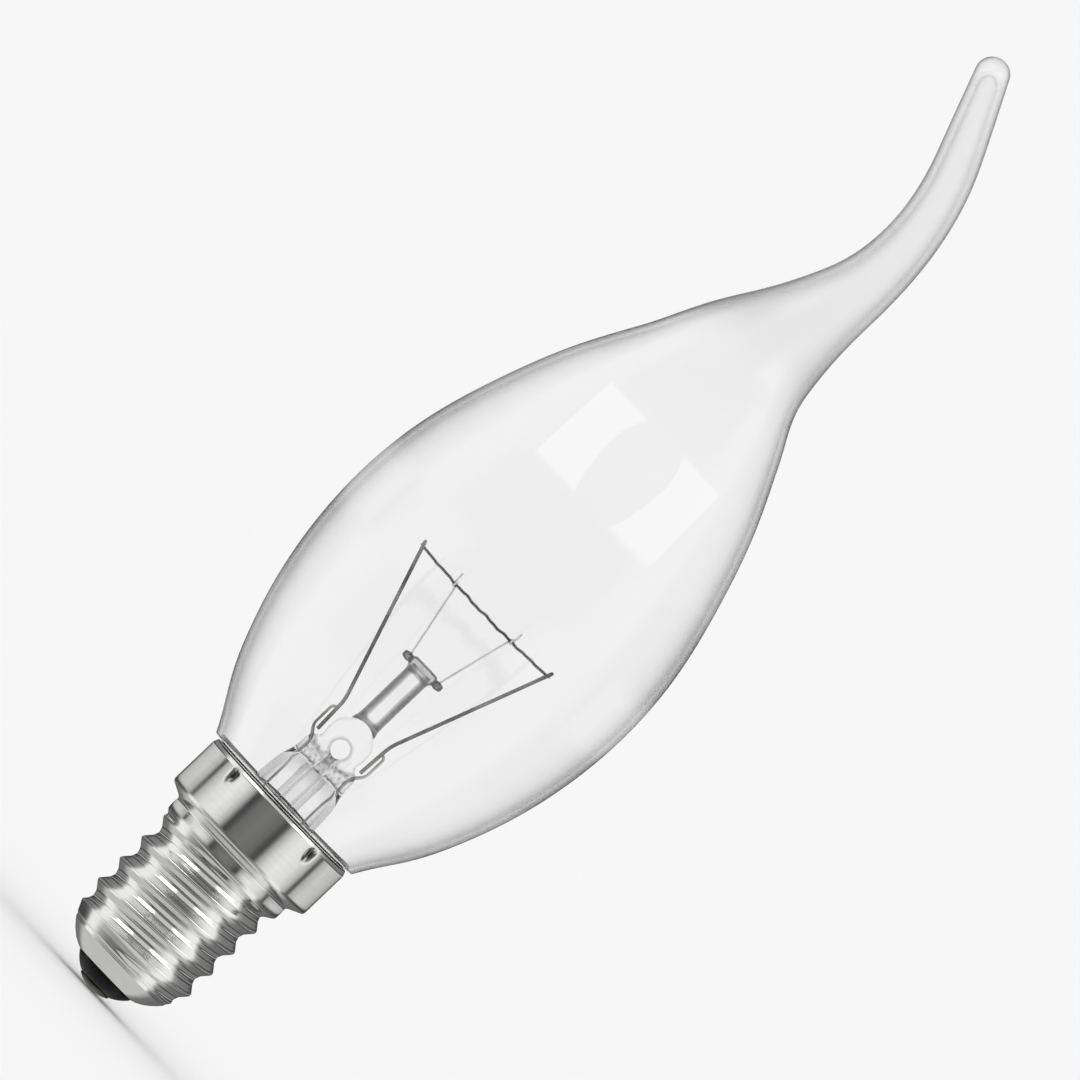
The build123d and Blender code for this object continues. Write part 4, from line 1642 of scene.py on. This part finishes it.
@dataclass
class Studio:
    """Pale floor, surrounding light and the camera of the photo.

    What mirrors see is set by the wall that would show it to the camera: how far the wall is
    turned from the camera and how far it leans back, both in degrees.

    Attributes:
        pale: Brightness of the floor and of what lies behind it.
        through: Brightness seen through glass.
        floor_rings: Radii of the floor's rings in millimetres.
        floor_heights: Height of the floor's face and of its underside in millimetres.
        floor_cloud: Size of the floor's faint clouds, per metre, and their depth.
        upright: Turn and brightness for upright walls.
        leaning: Turn and brightness of the light panels for walls that lean.
        steep: Turn and brightness of the dark panels for walls that lean.
        steps: Leans at which the steep and the leaning panels take turns.
        step_widths: Width of each of those changes.
        flat_up: Brightness for walls that face well up.
        flat_up_from: Lean at which that sets in and the width of the change.
        flat_down: Turn and brightness for walls that face well down.
        flat_down_from: Lean at which that sets in and the width of the change, downward.
        softbox: Brightness of the two softboxes.
        softbox_lean: Leans between which a softbox shows.
        softbox_inner: Turn of a softbox's inner edge at its foot, the turn added at its top, and
            four times the turn added half way up.
        softbox_outer: The same for its outer edge.
        softbox_blur: Width of a softbox's edges.
        shift: Turn of the panels to the left for upright walls and for the others.
        distance: Distance of the camera in metres.
        sensor: Width of the camera's sensor in millimetres.
        lens: Focal length in millimetres.
        near: Distance in metres from which the camera sees.
        aim: Place of the picture's middle along X and Z, in millimetres.
        roll: Turn of the camera about its line of sight, in degrees.
    """

    pale: float = 0.93
    through: float = 0.93
    floor_rings: tuple[float, ...] = (0.01, 60.0, 200.0, 3000.0)
    floor_heights: Pair = (-0.05, -5.0)
    floor_cloud: Pair = (8.0, 0.002)
    upright: Table = (
        (0.0, 0.2), (8.5, 0.16), (12.0, 0.06), (14.0, 0.06), (16.5, 0.45), (21.0, 0.8), (27.0, 0.95),
        (36.0, 0.85), (42.0, 0.6), (44.6, 0.45), (46.0, 0.09), (48.0, 0.09), (50.0, 0.5), (58.0, 0.7),
        (70.0, 0.62), (82.0, 0.45), (90.0, 0.2),
    )
    leaning: Table = (
        (0.0, 0.65), (14.0, 0.66), (26.0, 0.72), (34.0, 1.0), (43.0, 1.0), (48.0, 0.36), (54.0, 0.24),
        (90.0, 0.2),
    )
    steep: Table = (
        (0.0, 0.13), (14.0, 0.18), (26.0, 0.42), (34.0, 1.0), (43.0, 1.0), (48.0, 0.2), (54.0, 0.07),
        (90.0, 0.05),
    )
    steps: tuple[float, ...] = (4.5, 16.0, 26.0, 36.0)
    step_widths: tuple[float, ...] = (3.0, 2.0, 3.0, 3.0)
    flat_up: float = 0.7
    flat_up_from: Pair = (54.0, 8.0)
    flat_down: Table = ((0.0, 0.6), (46.0, 0.6), (57.0, 0.2), (90.0, 0.12))
    flat_down_from: Pair = (-38.0, -3.0)
    softbox: float = 2.2
    softbox_lean: Pair = (16.4, 24.4)
    softbox_inner: Triple = (8.3, 2.5, 19.0)
    softbox_outer: Triple = (28.9, 7.9, 1.4)
    softbox_blur: float = 0.5
    shift: Pair = (1.6, 5.0)
    distance: float = 1.4
    sensor: float = 36.0
    lens: float = 500.1
    near: float = 0.01
    aim: Pair = (-1.26, 59.27)
    roll: float = 46.3

    def floor(self) -> None:
        """A wide pale disc below the lamp that mirrors and glass look through."""
        face, under = self.floor_heights
        rows = [(radius, face) for radius in self.floor_rings]
        rows += [(radius, under) for radius in (self.floor_rings[-1], self.floor_rings[0])]
        piece = Shape().add(turned(np.array(rows), 64)).mesh("floor")
        material, nodes = new_material("pale_floor")
        scale, depth = self.floor_cloud
        shades = tuple(zip(Nodes.noise_span, (self.pale - depth, self.pale + depth)))
        colour = nodes.shades(nodes.noise(nodes.stretched(), scale), shades)
        matt = nodes.add("BsdfDiffuse", {"Color": colour})
        clear = nodes.add("BsdfTransparent")
        path = nodes.add("LightPath").outputs
        through = nodes.math("MAXIMUM", path["Is Glossy Ray"], path["Is Transmission Ray"])
        mix = nodes.add("MixShader", {0: through, 1: matt.outputs[0], 2: clear.outputs[0]})
        nodes.add("OutputMaterial", {"Surface": mix.outputs[0]})
        piece.data.materials.append(material)

    def past(self, nodes: Nodes, value: Socket, limit: float, width: float) -> Socket:
        """Rise from 0 to 1 over a width in degrees at a limit, or fall for a negative width."""
        return nodes.between(value, (limit - width / 2) / SQUARE, (limit + width / 2) / SQUARE)

    def ring(self, nodes: Nodes, turn: Socket, stops: Table) -> Socket:
        """Brightness by the turn, given in right angles."""
        return nodes.shades(turn, tuple((degrees / SQUARE, value) for degrees, value in stops))

    def mirrored(self, nodes: Nodes) -> Socket:
        """Brightness in a direction, by the wall half way between that direction and the camera's.

        Args:
            nodes: Tree of the world.

        Returns:
            The brightness.
        """
        way = nodes.add("TexCoord").outputs["Generated"]
        half = nodes.add("VectorMath", {0: way, 1: (0.0, -1.0, 0.0)}, operation="ADD").outputs[0]
        half = nodes.add("VectorMath", {0: half}, operation="NORMALIZE").outputs[0]
        right, back, up = nodes.add("SeparateXYZ", {0: half}).outputs
        turn = nodes.math("ARCTAN2", right, nodes.math("MULTIPLY", back, -1.0))
        turn = nodes.math("DIVIDE", turn, math.pi / 2)
        lean = nodes.math("DIVIDE", nodes.math("ARCSINE", up), math.pi / 2)
        plain, other = (
            nodes.math("ABSOLUTE", nodes.math("ADD", turn, degrees / SQUARE)) for degrees in self.shift
        )
        light = self.ring(nodes, plain, self.upright)
        steep, leaning, down = (
            self.ring(nodes, other, stops) for stops in (self.steep, self.leaning, self.flat_down)
        )
        slant = nodes.math("ABSOLUTE", lean)
        for limit, width, panel in zip(self.steps, self.step_widths, 2 * (steep, leaning)):
            light = nodes.mix(self.past(nodes, slant, limit, width), light, panel)
        light = nodes.mix(self.past(nodes, lean, *self.flat_up_from), light, self.flat_up)
        light = nodes.mix(self.past(nodes, lean, *self.flat_down_from), light, down)
        return nodes.mix(self.softboxes(nodes, turn, lean), light, self.softbox)

    def softboxes(self, nodes: Nodes, turn: Socket, lean: Socket) -> Socket:
        """1 inside the two softboxes, whose upright edges are parabolas in the lean.

        Args:
            nodes: Tree to build in.
            turn: Turn in right angles.
            lean: Lean in right angles.

        Returns:
            The mask.
        """
        low, high = self.softbox_lean
        blur = self.softbox_blur
        rise = nodes.between(lean, low / SQUARE, high / SQUARE)
        arch = nodes.math("MULTIPLY", rise, nodes.math("SUBTRACT", 1.0, rise))
        above = self.past(nodes, lean, low, blur)
        mask = nodes.math("MULTIPLY", above, self.past(nodes, lean, high, -blur))
        for (foot, top, middle), width in ((self.softbox_inner, blur), (self.softbox_outer, -blur)):
            edge = nodes.math("MULTIPLY_ADD", rise, top / SQUARE, foot / SQUARE)
            edge = nodes.math("MULTIPLY_ADD", arch, middle / SQUARE, edge)
            beyond = nodes.math("SUBTRACT", nodes.math("ABSOLUTE", turn), edge)
            mask = nodes.math("MULTIPLY", mask, self.past(nodes, beyond, 0.0, width))
        return mask

    def world(self) -> None:
        """Even light of strength 1 on matt surfaces, the panels in mirrors, and pale behind all."""
        world = bpy.data.worlds.new("studio")
        bpy.context.scene.world = world
        world.use_nodes = True
        nodes = Nodes(world.node_tree)
        path = nodes.add("LightPath").outputs
        light = nodes.mix(path["Is Glossy Ray"], 1.0, self.mirrored(nodes))
        light = nodes.mix(path["Is Transmission Ray"], light, self.through)
        light = nodes.mix(path["Is Camera Ray"], light, self.pale)
        shine = nodes.add("Background", {"Color": light, "Strength": 1.0})
        nodes.add("OutputWorld", {"Surface": shine.outputs[0]})

    def camera(self) -> None:
        """The photo's view: level, from -Y, rolled so that the lamp leans as in the picture."""
        data = bpy.data.cameras.new("photo_camera")
        data.sensor_width = self.sensor
        data.lens = self.lens
        data.clip_start = self.near
        piece = bpy.data.objects.new("photo_camera", data)
        roll = math.radians(self.roll)
        right = (math.cos(roll), 0.0, math.sin(roll))
        up = (-math.sin(roll), 0.0, math.cos(roll))
        columns = (right, up, (0.0, -1.0, 0.0))
        place = (self.aim[0] * MM, -self.distance, self.aim[1] * MM)
        piece.matrix_world = Matrix.Translation(place) @ Matrix(columns).transposed().to_4x4()
        bpy.context.scene.collection.objects.link(piece)
        bpy.context.scene.camera = piece

    def build(self) -> None:
        """Set up floor, light, camera and plain colour handling."""
        self.floor()
        self.world()
        self.camera()
        bpy.context.scene.view_settings.view_transform = "Standard"


def main() -> None:
    """Load the frame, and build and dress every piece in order."""
    logging.basicConfig(level=logging.INFO, format="%(message)s")
    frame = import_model()
    wardrobe = Wardrobe()
    envelope, stem, mount, cap = Envelope(), Stem(), Mount(), Cap()
    wardrobe.dress(envelope.build(), Slot.CLEAR_GLASS, "bulb_envelope")
    wardrobe.dress(stem.flare(), Slot.STEM_GLASS, "stem_flare")
    wardrobe.dress(stem.exhaust(), Slot.STEM_GLASS, "exhaust_tube", TUBE_GLASS)
    wardrobe.dress(stem.arbor(), Slot.STEM_GLASS, "arbor_rod", ROD_GLASS)
    wardrobe.dress(mount.filament(), Slot.TUNGSTEN, "filament")
    for side in Side:
        wardrobe.dress(mount.support(side), Slot.SUPPORT_WIRE, f"filament_support_{side.word}")
        wardrobe.dress(mount.inner(side), Slot.NICKEL_WIRE, f"inner_lead_{side.word}")
        wardrobe.dress(mount.seal(side), Slot.SEAL_WIRE, f"seal_wire_{side.word}")
    wardrobe.dress(mount.centre_lead(), Slot.NICKEL_WIRE, "centre_lead", OUTER_WIRE)
    wardrobe.dress(mount.side_lead(), Slot.NICKEL_WIRE, "side_lead", OUTER_WIRE)
    wardrobe.dress(cap.shell(), Slot.PLATED_SHEET, "screw_shell")
    wardrobe.dress(cap.plug(), Slot.BLACK_GLASS, "cap_insulator")
    wardrobe.dress(cap.eyelet(), Slot.EYELET_BRASS, "contact_eyelet")
    wardrobe.dress(cap.contact(), Slot.SOLDER, "contact_solder")
    wardrobe.dress(cap.side_drop(), Slot.SOLDER, "side_solder")
    wardrobe.dress(frame["nodes"]["cap_cement"], Slot.CEMENT)
    Studio().build()


if __name__ == "__main__":
    main()
